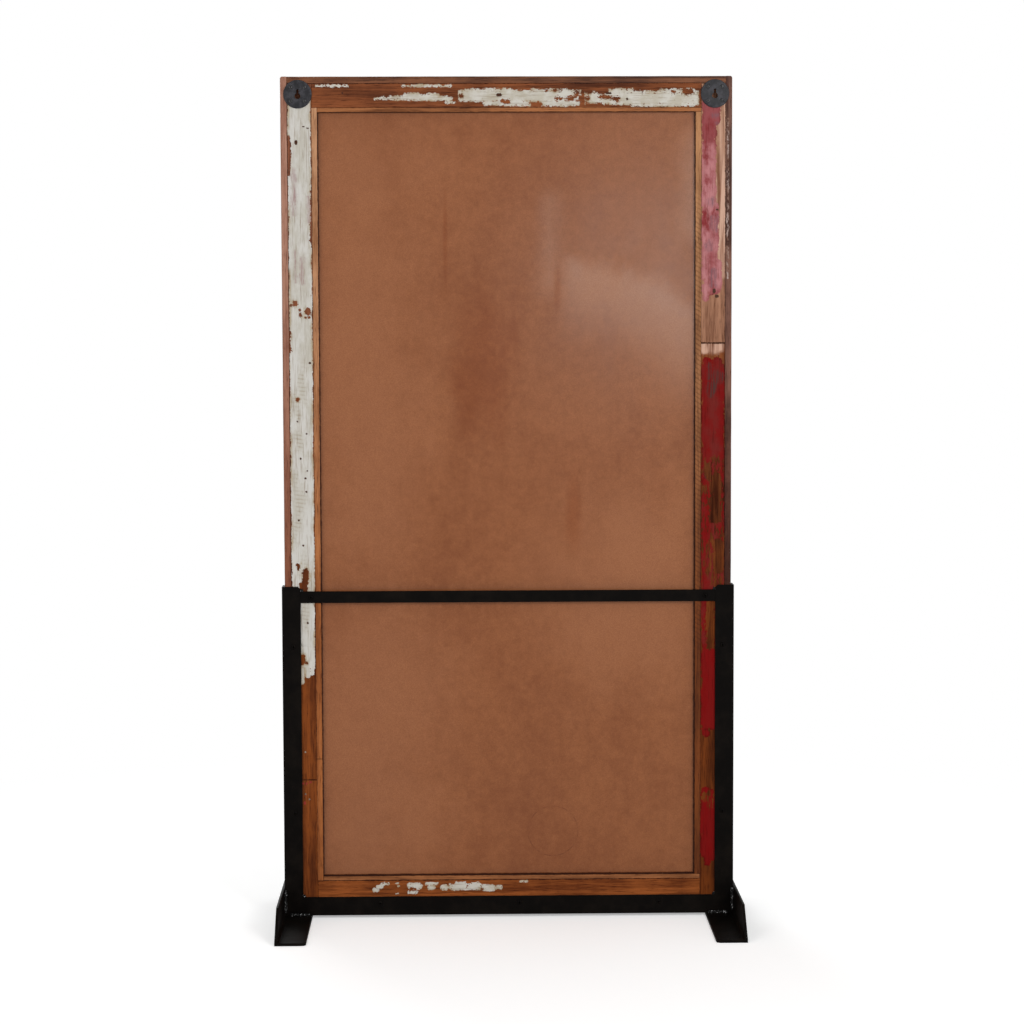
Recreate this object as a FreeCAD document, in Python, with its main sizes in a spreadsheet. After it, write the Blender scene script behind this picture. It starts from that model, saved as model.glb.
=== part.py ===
"""Floor mirror: a rebated plank frame round a glass, screwed to a welded stand of angle steel.

+Z is up from the floor and the glass faces -Y. Left and right are those of someone who looks into
the glass. The origin lies on the floor, in the middle of the footprint. Lengths are in millimetres.
"""
import FreeCAD, Part
import math
import os
import re

import Sketcher

DIMENSIONS = {
    # Plank frame
    "frame_width": 955,
    "frame_height": 1788,
    "frame_depth": 40,
    "rim_width": 14,
    "stile_width": 64,
    "top_rail_width": 64,
    "bottom_rail_width": 70,
    "rebate_width": 13,
    "lip_depth": 19,
    "edge_round": 4,
    "corner_round": 5,
    # Corner joints and splices of the planks
    "tenon_thickness": 11,
    "tenon_width": 40,
    "tenon_length": 38,
    "tenon_margin": 6,
    "joint_clearance": 0.2,
    "left_splice_height": 1225,
    "right_splice_height": 291,
    "dowel_diameter": 10,
    "dowel_length": 60,
    "dowel_spacing": 26,
    "dowel_bevel": 1,
    # Glass, back panel and the beads that hold them
    "glass_thickness": 4,
    "glass_clearance": 2,
    "panel_thickness": 5,
    "panel_clearance": 1,
    "stile_bead_width": 13,
    "rail_bead_width": 10,
    "bead_round": 2,
    "pin_width": 1.25,
    "pin_thickness": 1,
    "pin_length": 26,
    "pin_tip": 2.4,
    "pin_end_margin": 80,
    # Keyhole plates for hanging on a wall
    "hanger_diameter": 60,
    "hanger_thickness": 2.5,
    "hanger_inset": 37,
    "keyhole_entry_diameter": 12,
    "keyhole_slot_width": 5,
    "keyhole_rise": 12,
    "keyhole_drop": 4,
    "hanger_pocket_diameter": 27,
    "hanger_pocket_depth": 14,
    "hanger_screw_reach": 20.5,
    "hanger_screw_head_diameter": 8,
    "hanger_screw_diameter": 4,
    "hanger_screw_length": 16,
    "hanger_screw_tip": 4,
    # Steel stand
    "angle_leg": 40,
    "angle_thickness": 4,
    "angle_toe_round": 2,
    "stand_clearance": 2,
    "upright_top": 718,
    "upright_corner_cut": 6,
    "bar_height": 25,
    "bar_drop": 10,
    "foot_leg": 65,
    "foot_thickness": 6,
    "foot_root_round": 5,
    "foot_toe_round": 3,
    "foot_rear_reach": 255,
    "foot_front_reach": 205,
    "foot_end_slant": 70,
    "foot_corner_round": 10,
    "weld_leg": 6,
    # Screws that hold the frame in the stand
    "screw_head_diameter": 11,
    "screw_head_height": 3,
    "screw_head_bevel": 1.5,
    "screw_diameter": 5,
    "screw_length": 30,
    "screw_tip": 5,
    "hole_clearance": 0.3,
    "upright_screw_inset": 24,
    "upright_screw_low": 229,
    "upright_screw_high": 589,
    "bar_screw_inset": 62,
    "shelf_screw_spacing": 300,
    "shelf_screw_shift": 22,
    "shelf_screw_height": 32,
    "cut_overrun": 1,
}

# Sizes and places that follow from the driving dimensions. Places of the stand are measured from
# its rear face and the floor, those of the frame from its front face and its foot.
DERIVED = {
    "stand_half": "frame_width / 2 + stand_clearance + angle_thickness",
    "stand_inner": "stand_half - angle_leg",
    "stand_back": "(foot_front_reach - foot_rear_reach) / 2",
    "shelf_half": "stand_half - angle_thickness",
    "shelf_top": "foot_thickness + angle_thickness",
    "shelf_rail_top": "foot_thickness + angle_leg",
    "foot_half": "stand_half + foot_thickness",
    "foot_inner": "foot_half - foot_leg",
    "bar_top": "upright_top - bar_drop",
    "bar_low": "bar_top - bar_height",
    "bar_weld_leg": "bar_drop - upright_corner_cut",
    "bar_weld_length": "angle_thickness - angle_toe_round",
    "rise_weld_foot": "foot_thickness + foot_root_round",
    "rise_weld_length": "foot_leg - foot_toe_round - rise_weld_foot",
    "floor_weld_outer": "stand_half - foot_root_round - weld_leg",
    "floor_weld_inner": "foot_inner + foot_toe_round",
    "frame_front": "stand_back - angle_thickness - frame_depth",
    "frame_half": "frame_width / 2",
    "plank_outer": "frame_half - rim_width",
    "plank_top": "frame_height - rim_width",
    "sight_half": "plank_outer - stile_width",
    "rebate_half": "sight_half + rebate_width",
    "top_rebate_inset": "rim_width + top_rail_width - rebate_width",
    "bottom_rebate_inset": "rim_width + bottom_rail_width - rebate_width",
    "rebate_low": "bottom_rebate_inset",
    "rebate_high": "frame_height - top_rebate_inset",
    "panel_front": "lip_depth + glass_thickness",
    "bead_front": "panel_front + panel_thickness",
    "bead_middle": "(bead_front + frame_depth) / 2",
    "tenon_front": "lip_depth - tenon_thickness",
    "tenon_inset": "rim_width + tenon_margin",
    "mortise_inset": "tenon_inset - joint_clearance",
    "mortise_width": "tenon_width + 2 * joint_clearance",
    "mortise_half": "sight_half + tenon_length + joint_clearance",
    "dowel_middle": "(plank_outer + rebate_half) / 2",
    "hanger_half": "frame_half - hanger_inset",
    "hanger_height": "frame_height - hanger_inset",
    "hanger_screw_bevel": "(hanger_screw_head_diameter - hanger_screw_diameter) / 2",
    "upright_screw_half": "stand_half - upright_screw_inset",
    "bar_screw_half": "stand_half - bar_screw_inset",
    "bar_screw_height": "(bar_low + bar_top) / 2",
    "pin_hole_width": "pin_width + joint_clearance",
    "pin_hole_thickness": "pin_thickness + joint_clearance",
    "dowel_hole": "dowel_diameter + joint_clearance",
    "dowel_hole_depth": "dowel_length / 2 + joint_clearance",
    "hanger_hole": "hanger_screw_diameter + joint_clearance",
    "hanger_hole_depth": "hanger_screw_length - hanger_thickness + joint_clearance",
    "wood_hole": "screw_diameter + joint_clearance",
    "wood_hole_depth": "screw_length - angle_thickness + joint_clearance",
    "steel_hole": "screw_diameter + 2 * hole_clearance",
}

SIDES = {"left": -1, "right": 1}
PINS_PER_STILE_BEAD = 5
PINS_PER_RAIL_BEAD = 3
SHELF_SCREW_STEPS = (-1, 0, 1)
# A weld's crown stands out along each leg by this much of it, where a flat face would give a half
WELD_CROWN_SHARE = 0.64
# The screws of a keyhole plate lie on its diagonals
HANGER_DIAGONAL_SHARES = ((0.71, 0.71), (-0.71, 0.71), (-0.71, -0.71), (0.71, -0.71))
COUNTERSINK_DEGREES = -45
QUARTER_TURN_DEGREES = 90
# Leg, thickness, root radius and toe radius of the two rolled angles. The frame's eased edges fill
# the lighter angle's root.
ANGLE_SIZES = ("angle_leg", "angle_thickness", "edge_round", "angle_toe_round")
FOOT_SIZES = ("foot_leg", "foot_thickness", "foot_root_round", "foot_toe_round")

Vector = FreeCAD.Vector
document = FreeCAD.newDocument("floor_mirror")
sheet = document.addObject("Spreadsheet::Sheet", "dims")
nodes = {}


def fill_sheet():
    """Write every driving dimension as a plain number under its own alias."""
    for row, (name, size) in enumerate(DIMENSIONS.items(), start=1):
        sheet.set(f"A{row}", name)
        sheet.set(f"B{row}", str(size))
        sheet.setAlias(f"B{row}", name)
    document.recompute()


def spell(formula):
    """Return a formula with its derived names expanded and its dimensions tied to the sheet."""
    def expand(match):
        name = match.group(0)
        if name in DERIVED:
            return f"({spell(DERIVED[name])})"
        return f"dims.{name}" if name in DIMENSIONS else name
    return re.sub(r"[a-z_]+", expand, formula)


def number(formula):
    """Return the present value of a formula."""
    return float(sheet.evalExpression(spell(formula)))


def bind(item, path, formula):
    """Tie a property of an object to a formula of the sheet's dimensions."""
    item.setExpression(path, spell(formula))


def bind_place(item, x, y, z):
    """Tie an object's place to three formulas."""
    for axis, formula in zip("xyz", (x, y, z)):
        bind(item, f"Placement.Base.{axis}", formula)


def new_body(label, y="0", z="0"):
    """Add a body whose own origin is placed by formulas."""
    body = document.addObject("PartDesign::Body", label)
    body.Label = label
    bind_place(body, "0", y, z)
    return body


def frame_body(label):
    """Add a piece of the mirror frame, drawn from the frame's front face and foot."""
    nodes[label] = new_body(label, y="frame_front", z="shelf_top")
    return nodes[label]


def stand_body(label):
    """Add a piece of the stand, drawn from the stand's rear face and the floor."""
    nodes[label] = new_body(label, y="stand_back")
    return nodes[label]


def sketch_on(body, role, offset="0"):
    """Add a sketch to one of the body's origin planes, moved along the plane's normal."""
    sketch = body.newObject("Sketcher::SketchObject", f"{body.Name}_sketch")
    plane = next(item for item in body.Origin.OriginFeatures if item.Role == role)
    sketch.AttachmentSupport = [(plane, "")]
    sketch.MapMode = "FlatFace"
    bind(sketch, "AttachmentOffset.Base.z", offset)
    return sketch


def hold_point(sketch, geometry, point, x, y):
    """Hold a point of a sketch at two formulas."""
    for kind, formula in (("DistanceX", x), ("DistanceY", y)):
        constraint = Sketcher.Constraint(kind, -1, 1, geometry, point, number(formula))
        bind(sketch, f"Constraints[{sketch.addConstraint(constraint)}]", formula)


def hold_size(sketch, kind, geometry, formula):
    """Hold a radius or a diameter of a sketch at a formula."""
    constraint = Sketcher.Constraint(kind, geometry, number(formula))
    bind(sketch, f"Constraints[{sketch.addConstraint(constraint)}]", formula)


def draw_circle(sketch, x, y, diameter):
    """Draw a circle that formulas place and size."""
    centre = Vector(number(x), number(y), 0)
    circle = sketch.addGeometry(Part.Circle(centre, Vector(0, 0, 1), number(diameter) / 2), False)
    hold_point(sketch, circle, 3, x, y)
    hold_size(sketch, "Diameter", circle, diameter)


def draw_outline(sketch, corners):
    """Draw a closed outline through corners (x, y), or (x, y, radius) where one is rounded."""
    places = [Vector(number(corner[0]), number(corner[1]), 0) for corner in corners]
    radii = [number(corner[2]) if len(corner) > 2 else 0 for corner in corners]
    count = len(corners)
    ways = [(places[(i + 1) % count] - places[i]).normalize() for i in range(count)]
    trims = [radii[i] * math.tan(ways[i - 1].getAngle(ways[i]) / 2) for i in range(count)]
    lines = []
    for i in range(count):
        start = places[i] + ways[i] * trims[i]
        end = places[(i + 1) % count] - ways[i] * trims[(i + 1) % count]
        lines.append(sketch.addGeometry(Part.LineSegment(start, end), False))
    for i, corner in enumerate(corners):
        if radii[i]:
            draw_round(sketch, lines[i - 1], lines[i], corner, (ways[i - 1], ways[i]))
        else:
            sketch.addConstraint(Sketcher.Constraint("Coincident", lines[i - 1], 2, lines[i], 1))
            hold_point(sketch, lines[i], 1, corner[0], corner[1])


def draw_round(sketch, before, after, corner, ways):
    """Join two lines by a tangent arc, round a corner point that both lines aim at."""
    place = Vector(number(corner[0]), number(corner[1]), 0)
    tip = sketch.addGeometry(Part.Point(place), True)
    hold_point(sketch, tip, 1, corner[0], corner[1])
    for line in (before, after):
        sketch.addConstraint(Sketcher.Constraint("PointOnObject", tip, 1, line))
    radius = number(corner[2])
    reach = radius / math.cos(ways[0].getAngle(ways[1]) / 2)
    centre = place + (ways[1] - ways[0]).normalize() * reach
    circle = Part.Circle(centre, Vector(0, 0, 1), radius)
    turns_left = ways[0].cross(ways[1]).z > 0
    ends = [circle.parameter(sketch.getPoint(*end)) for end in ((before, 2), (after, 1))]
    first, last = ends if turns_left else reversed(ends)
    arc = sketch.addGeometry(Part.ArcOfCircle(circle, first, last), False)
    meets_before, meets_after = (1, 2) if turns_left else (2, 1)
    sketch.addConstraint(Sketcher.Constraint("Tangent", before, 2, arc, meets_before))
    sketch.addConstraint(Sketcher.Constraint("Tangent", after, 1, arc, meets_after))
    hold_size(sketch, "Radius", arc, corner[2])


def draw_box(sketch, x_from, x_to, y_from, y_to):
    """Draw a rectangle between formulas."""
    draw_outline(sketch, [(x_from, y_from), (x_to, y_from), (x_to, y_to), (x_from, y_to)])


def draw_pin_hole(sketch, x, y):
    """Draw the hole of a flat pin round a place, its width along the first coordinate."""
    sides = [f"{x} {way} pin_hole_width / 2" for way in "-+"]
    draw_box(sketch, *sides, *(f"{y} {way} pin_hole_thickness / 2" for way in "-+"))


def draw_corner_waste(sketch, x, y, radius, x_way, y_way):
    """Draw what is cut off a square corner, pointing along the two ways, to round it."""
    x_in, x_out = f"{x} - {x_way} * 2 * {radius}", f"{x} + {x_way} * cut_overrun"
    y_in, y_out = f"{y} - {y_way} * 2 * {radius}", f"{y} + {y_way} * cut_overrun"
    draw_outline(sketch, [
        (x_in, y), (x, y, radius), (x, y_in), (x_out, y_in), (x_out, y_out), (x_in, y_out),
    ])


def add_pad(body, sketch, length, side="One side", reverse=False):
    """Raise a sketch into the body's solid."""
    pad = body.newObject("PartDesign::Pad", f"{body.Name}_pad")
    pad.Profile = sketch
    pad.SideType = side
    pad.Reversed = reverse
    bind(pad, "Length", length)
    document.recompute()


def add_cut(body, sketch, depth=None, reverse=False, taper=0):
    """Cut a sketch out of the body, to a depth along one way or right through both ways."""
    volume = body.Shape.Volume
    pocket = body.newObject("PartDesign::Pocket", f"{body.Name}_cut")
    pocket.Profile = sketch
    if depth is None:
        pocket.Type = "ThroughAll"
        pocket.SideType = "Symmetric"
    else:
        bind(pocket, "Length", depth)
        pocket.Reversed = reverse
        pocket.TaperAngle = taper
    document.recompute()
    if pocket.Shape.Volume >= volume:
        raise ValueError(f"a cut misses {body.Label}")


def add_turning(label, corners):
    """Add a body turned about its own Y axis from a half section."""
    body = new_body(label)
    sketch = sketch_on(body, "XY_Plane")
    draw_outline(sketch, corners)
    turning = body.newObject("PartDesign::Revolution", f"{label}_turning")
    turning.Profile = sketch
    turning.ReferenceAxis = (sketch, ["V_Axis"])
    document.recompute()
    return body


def add_group(label, master, places):
    """Add a node of like pieces: links to one master, each at three formulas and a rotation."""
    links = []
    for x, y, z, rotation in places:
        link = document.addObject("App::Link", f"{label}_link")
        link.LinkedObject = master
        link.Placement = FreeCAD.Placement(Vector(), rotation)
        bind_place(link, x, y, z)
        links.append(link)
    add_compound(label, links)


def add_compound(label, members):
    """Add a node that holds several separate solids."""
    nodes[label] = document.addObject("Part::Compound", label)
    nodes[label].Label = label
    nodes[label].Links = members
    document.recompute()


def on_side(sign, corners):
    """Return an outline of the right side, drawn on the side that the sign gives."""
    return [(f"{sign} * ({corner[0]})", *corner[1:]) for corner in corners]


def on_edge(edge, distance):
    """Return the height, above the frame's foot, of a place at a distance from its top or bottom edge."""
    return distance if edge == "bottom" else f"frame_height - ({distance})"


def stile_pin_heights():
    """Return the heights of the pins in a stile's bead, above the frame's foot."""
    run = "(rebate_high - rebate_low - 2 * pin_end_margin)"
    last = PINS_PER_STILE_BEAD - 1
    return [f"rebate_low + pin_end_margin + {run} * {i} / {last}" for i in range(PINS_PER_STILE_BEAD)]


def rail_pin_places():
    """Return the places of the pins along a rail's bead."""
    run = "(2 * rebate_half - stile_bead_width - 2 * pin_end_margin)"
    last = PINS_PER_RAIL_BEAD - 1
    return [f"pin_end_margin - rebate_half + {run} * {i} / {last}" for i in range(PINS_PER_RAIL_BEAD)]


def shelf_screw_places():
    """Return the places of the screws along the shelf rail."""
    return [f"{step} * shelf_screw_spacing - shelf_screw_shift" for step in SHELF_SCREW_STEPS]


def stand_screw_places(sign):
    """Return the places, across the stand and above the floor, of the screws at one upright."""
    upright = f"{sign} * upright_screw_half"
    return [
        (upright, "upright_screw_low"),
        (upright, "upright_screw_high"),
        (f"{sign} * bar_screw_half", "bar_screw_height"),
    ]


def dowel_places(sign):
    """Return the places, across the frame, of the two dowels in one stile's splice."""
    return [f"{sign} * dowel_middle + {way} * dowel_spacing / 2" for way in SIDES.values()]


def hanger_screw_places():
    """Return the places of a keyhole plate's screws round its middle."""
    return [(f"{x} * hanger_screw_reach", f"{y} * hanger_screw_reach") for x, y in HANGER_DIAGONAL_SHARES]


def draw_angle(sketch, corner, way_a, way_b, sizes):
    """Draw the section of a rolled angle.

    The outer corner is a pair of formulas. Leg a runs from it along the first coordinate and leg b
    along the second, each by its way, 1 or -1. The sizes are the leg, the thickness, the root's
    radius and the toes' radius.
    """
    leg, thick, root, toe = sizes

    def at(a, b, *radius):
        return (f"{corner[0]} + {way_a} * {a}", f"{corner[1]} + {way_b} * {b}", *radius)
    draw_outline(sketch, [
        at("0", "0"), at(leg, "0"), at(leg, thick, toe),
        at(thick, thick, root), at(thick, leg, toe), at("0", leg),
    ])


def ease_into_foot(body, signs):
    """Round the lower edge of a piece where it sits in a foot's root."""
    ease = sketch_on(body, "XZ_Plane")
    for sign in signs:
        draw_corner_waste(ease, f"{sign} * stand_half", "foot_thickness", "foot_root_round", sign, -1)
    add_cut(body, ease)


def add_upright(side):
    """An upright: an angle that wraps the frame's rear edge and stands on the foot."""
    sign = SIDES[side]
    body = stand_body(f"{side}_upright")
    section = sketch_on(body, "XY_Plane", "foot_thickness")
    draw_angle(section, (f"{sign} * stand_half", "0"), -sign, -1, ANGLE_SIZES)
    add_pad(body, section, "upright_top - foot_thickness")
    ease_into_foot(body, [sign])
    # The upper inner corner is cut off
    top = sketch_on(body, "XZ_Plane")
    draw_outline(top, on_side(sign, [
        ("stand_inner - cut_overrun", "upright_top + cut_overrun"),
        ("stand_inner + upright_corner_cut + cut_overrun", "upright_top + cut_overrun"),
        ("stand_inner - cut_overrun", "upright_top - upright_corner_cut - cut_overrun"),
    ]))
    add_cut(body, top)
    holes = sketch_on(body, "XZ_Plane")
    for x, z in stand_screw_places(sign)[:2]:
        draw_circle(holes, x, z, "steel_hole")
    add_cut(body, holes)


def add_shelf_rail():
    """The lower rail: an angle whose flat leg is the shelf that the frame stands on."""
    body = stand_body("shelf_rail")
    section = sketch_on(body, "YZ_Plane")
    draw_angle(section, ("0", "foot_thickness"), -1, 1, ANGLE_SIZES)
    add_pad(body, section, "2 * shelf_half", side="Symmetric")
    ease_into_foot(body, SIDES.values())
    # Each end keeps only the shelf, let in round the upright
    wall, notch, ease = (sketch_on(body, role) for role in ("XZ_Plane", "XY_Plane", "XY_Plane"))
    for sign in SIDES.values():
        inner, outer = f"{sign} * stand_inner", f"{sign} * stand_half"
        draw_box(wall, inner, outer, "shelf_top", "shelf_rail_top + cut_overrun")
        draw_box(notch, inner, outer, "-angle_thickness", "cut_overrun")
        draw_corner_waste(ease, f"{sign} * shelf_half", "-angle_thickness", "edge_round", sign, 1)
    for sketch in (wall, notch, ease):
        add_cut(body, sketch)
    holes = sketch_on(body, "XZ_Plane")
    for x in shelf_screw_places():
        draw_circle(holes, x, "shelf_screw_height", "steel_hole")
    add_cut(body, holes)


def add_cross_bar():
    """The flat bar welded between the uprights behind the frame."""
    body = stand_body("cross_bar")
    face = sketch_on(body, "XZ_Plane")
    draw_box(face, "-stand_inner", "stand_inner", "bar_low", "bar_top")
    add_pad(body, face, "angle_thickness")
    holes = sketch_on(body, "XZ_Plane")
    for sign in SIDES.values():
        draw_circle(holes, f"{sign} * bar_screw_half", "bar_screw_height", "steel_hole")
    add_cut(body, holes)


def add_foot(side):
    """A foot: a heavier angle from front to rear, its standing leg cut on a slant at both ends."""
    sign = SIDES[side]
    body = stand_body(f"{side}_foot")
    section = sketch_on(body, "XZ_Plane", "-foot_rear_reach")
    draw_angle(section, (f"{sign} * foot_half", "0"), -sign, 1, FOOT_SIZES)
    add_pad(body, section, "foot_rear_reach + foot_front_reach")
    slants, ends = sketch_on(body, "YZ_Plane"), sketch_on(body, "XY_Plane")
    for way, reach in ((1, "foot_rear_reach"), (-1, "foot_front_reach")):
        draw_outline(slants, on_side(way, [
            (reach, "foot_thickness"),
            (f"{reach} - foot_end_slant", "foot_leg"),
            (f"{reach} - foot_end_slant", "foot_leg + cut_overrun"),
            (f"{reach} + cut_overrun", "foot_leg + cut_overrun"),
            (f"{reach} + cut_overrun", "foot_thickness"),
        ]))
        draw_corner_waste(ends, f"{sign} * foot_inner", f"{way} * {reach}", "foot_corner_round", -sign, way)
    for sketch in (slants, ends):
        add_cut(body, sketch)


def draw_weld(sketch, corner, way_a, way_b, leg):
    """Draw the crowned section of a fillet weld in an inner corner."""
    crown = f"{WELD_CROWN_SHARE} * {leg}"
    draw_outline(sketch, [
        corner,
        (f"{corner[0]} + {way_a} * {leg}", corner[1]),
        (f"{corner[0]} + {way_a} * {crown}", f"{corner[1]} + {way_b} * {crown}"),
        (corner[0], f"{corner[1]} + {way_b} * {leg}"),
    ])


def add_welds():
    """The weld seams, which join the uprights to the feet and the two cross members to the uprights."""
    foot_welds, bar_welds, shelf_welds = [], [], []
    for side, sign in SIDES.items():
        rise = new_body(f"{side}_rise_weld", y="stand_back")
        section = sketch_on(rise, "XY_Plane", "rise_weld_foot")
        draw_weld(section, (f"{sign} * stand_half", "0"), -sign, 1, "weld_leg")
        add_pad(rise, section, "rise_weld_length")
        floor = new_body(f"{side}_floor_weld", y="stand_back")
        section = sketch_on(floor, "YZ_Plane", f"{sign} * floor_weld_inner")
        draw_weld(section, ("0", "foot_thickness"), 1, 1, "weld_leg")
        add_pad(floor, section, "floor_weld_outer - floor_weld_inner", reverse=sign < 0)
        foot_welds += [rise, floor]
        for name, height, group in (("bar", "bar_top", bar_welds), ("shelf", "shelf_rail_top", shelf_welds)):
            weld = new_body(f"{side}_{name}_weld", y="stand_back")
            section = sketch_on(weld, "XZ_Plane")
            draw_weld(section, (f"{sign} * stand_inner", height), -sign, 1, "bar_weld_leg")
            add_pad(weld, section, "bar_weld_length")
            group.append(weld)
    add_compound("foot_welds", foot_welds)
    add_compound("cross_bar_welds", bar_welds)
    add_compound("shelf_welds", shelf_welds)


def add_stile(side, level):
    """One of the two lengths of a rebated side plank, which meet end to end on dowels."""
    sign = SIDES[side]
    is_upper = level == "upper"
    splice = f"{side}_splice_height"
    low, high = (splice, "plank_top") if is_upper else ("rim_width", splice)
    body = frame_body(f"{side}_stile_{level}")
    section = sketch_on(body, "XY_Plane", low)
    draw_outline(section, on_side(sign, [
        ("plank_outer", "0"), ("plank_outer", "frame_depth"), ("rebate_half", "frame_depth"),
        ("rebate_half", "lip_depth"), ("sight_half", "lip_depth"), ("sight_half", "0"),
    ]))
    add_pad(body, section, f"{high} - {low}")
    # Mortise, open towards the rail that enters it
    foot = "mortise_inset" if not is_upper else "frame_height - mortise_inset - mortise_width"
    mortise = sketch_on(body, "XY_Plane", foot)
    inner, reach = f"{sign} * (sight_half - cut_overrun)", f"{sign} * mortise_half"
    draw_box(mortise, inner, reach, "tenon_front - joint_clearance", "lip_depth + joint_clearance")
    add_cut(body, mortise, "mortise_width", reverse=True)
    dowels = sketch_on(body, "XY_Plane", splice)
    for x in dowel_places(sign):
        draw_circle(dowels, x, "frame_depth / 2", "dowel_hole")
    add_cut(body, dowels, "dowel_hole_depth", reverse=is_upper)
    bore_stile_edge(body, sign, (low, high))
    bore_stile_back(body, sign, (low, high))
    if is_upper:
        bore_hanger_pocket(body, sign)


def is_within(height, span, size):
    """Tell whether a hole of a size at a height reaches into the length between two others."""
    low, high = span
    half = number(size) / 2
    return number(low) - half < number(height) < number(high) + half


def bore_stile_edge(body, sign, span):
    """Bore a stile's rebate wall for those pins of its bead that meet it."""
    heights = [z for z in stile_pin_heights() if is_within(z, span, "pin_hole_thickness")]
    if heights:
        pins = sketch_on(body, "YZ_Plane", f"{sign} * rebate_half")
        for z in heights:
            draw_pin_hole(pins, "bead_middle", z)
        add_cut(body, pins, "pin_length - stile_bead_width + joint_clearance", reverse=sign > 0)


def bore_stile_back(body, sign, span):
    """Bore a stile for those screws of the stand that meet it."""
    holes = [(x, f"{z} - shelf_top") for x, z in stand_screw_places(sign)]
    holes = [(x, z) for x, z in holes if is_within(z, span, "wood_hole")]
    if holes:
        sketch = sketch_on(body, "XZ_Plane", "-frame_depth")
        for x, z in holes:
            draw_circle(sketch, x, z, "wood_hole")
        add_cut(body, sketch, "wood_hole_depth", reverse=True)


def bore_hanger_pocket(body, sign):
    """Bore a stile behind its keyhole plate: room for a wall screw's head, and the plate's screws."""
    pocket = sketch_on(body, "XZ_Plane", "-frame_depth")
    draw_circle(pocket, f"{sign} * hanger_half", "hanger_height", "hanger_pocket_diameter")
    add_cut(body, pocket, "hanger_pocket_depth", reverse=True)
    holes = sketch_on(body, "XZ_Plane", "-frame_depth")
    for x, z in hanger_screw_places():
        draw_circle(holes, f"{sign} * hanger_half + {x}", f"hanger_height + {z}", "hanger_hole")
    add_cut(body, holes, "hanger_hole_depth", reverse=True)


def add_rail(edge):
    """A rebated cross plank, with long rear shoulders that fill the stiles' rebates, and tenons."""
    body = frame_body(f"{edge}_rail")
    outer, inner = on_edge(edge, "rim_width"), on_edge(edge, f"rim_width + {edge}_rail_width")
    rebate = on_edge(edge, f"{edge}_rebate_inset")
    section = sketch_on(body, "YZ_Plane")
    draw_outline(section, [
        ("0", outer), ("frame_depth", outer), ("frame_depth", rebate),
        ("lip_depth", rebate), ("lip_depth", inner), ("0", inner),
    ])
    add_pad(body, section, "2 * rebate_half", side="Symmetric")
    is_top = edge == "top"
    shoulders = sketch_on(body, "XY_Plane")
    foot = "tenon_inset" if not is_top else "frame_height - tenon_inset - tenon_width"
    tenons = sketch_on(body, "XY_Plane", foot)
    for sign in SIDES.values():
        shoulder = f"{sign} * sight_half"
        draw_box(shoulders, shoulder, f"{sign} * (rebate_half + cut_overrun)", "-cut_overrun", "lip_depth")
        draw_box(tenons, shoulder, f"{sign} * (sight_half + tenon_length)", "tenon_front", "lip_depth")
    add_cut(body, shoulders)
    add_pad(body, tenons, "tenon_width")
    pins = sketch_on(body, "XY_Plane", rebate)
    for x in rail_pin_places():
        draw_pin_hole(pins, x, "bead_middle")
    add_cut(body, pins, "pin_length - rail_bead_width + joint_clearance", reverse=is_top)
    if not is_top:
        holes = sketch_on(body, "XZ_Plane", "-frame_depth")
        for x in shelf_screw_places():
            draw_circle(holes, x, "shelf_screw_height - shelf_top", "wood_hole")
        add_cut(body, holes, "wood_hole_depth", reverse=True)


def add_side_rim(side):
    """The strip along the outside of a stile, with eased edges and rounded ends."""
    sign = SIDES[side]
    body = frame_body(f"{side}_rim")
    section = sketch_on(body, "XY_Plane")
    draw_outline(section, on_side(sign, [
        ("plank_outer", "0"), ("frame_half", "0", "edge_round"),
        ("frame_half", "frame_depth", "edge_round"), ("plank_outer", "frame_depth"),
    ]))
    add_pad(body, section, "frame_height")
    ends = sketch_on(body, "XZ_Plane")
    for way, height in ((-1, "0"), (1, "frame_height")):
        draw_corner_waste(ends, f"{sign} * frame_half", height, "corner_round", sign, way)
    add_cut(body, ends)


def add_cross_rim(edge):
    """The strip along the outside of a rail, between the side strips."""
    body = frame_body(f"{edge}_rim")
    outer, inner = on_edge(edge, "0"), on_edge(edge, "rim_width")
    section = sketch_on(body, "YZ_Plane")
    draw_outline(section, [
        ("0", inner), ("0", outer, "edge_round"),
        ("frame_depth", outer, "edge_round"), ("frame_depth", inner),
    ])
    add_pad(body, section, "2 * plank_outer", side="Symmetric")


def add_stile_bead(side):
    """The bead along a stile: the right one runs full height, the left one between the cross beads."""
    sign = SIDES[side]
    body = frame_body(f"{side}_bead")
    gap = "rail_bead_width" if side == "left" else "0"
    section = sketch_on(body, "XY_Plane", f"rebate_low + {gap}")
    inner = "rebate_half - stile_bead_width"
    draw_outline(section, on_side(sign, [
        (inner, "bead_front"), ("rebate_half", "bead_front"),
        ("rebate_half", "frame_depth"), (inner, "frame_depth", "bead_round"),
    ]))
    add_pad(body, section, f"rebate_high - rebate_low - 2 * {gap}")
    pins = sketch_on(body, "YZ_Plane")
    for z in stile_pin_heights():
        draw_pin_hole(pins, "bead_middle", z)
    add_cut(body, pins)


def add_rail_bead(edge):
    """The bead along a rail, from the left stile to the right bead."""
    body = frame_body(f"{edge}_bead")
    inset = f"{edge}_rebate_inset"
    outer, inner = on_edge(edge, inset), on_edge(edge, f"{inset} + rail_bead_width")
    section = sketch_on(body, "YZ_Plane", "-rebate_half")
    draw_outline(section, [
        ("bead_front", inner), ("bead_front", outer),
        ("frame_depth", outer), ("frame_depth", inner, "bead_round"),
    ])
    add_pad(body, section, "2 * rebate_half - stile_bead_width")
    pins = sketch_on(body, "XY_Plane")
    for x in rail_pin_places():
        draw_pin_hole(pins, x, "bead_middle")
    add_cut(body, pins)


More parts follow.
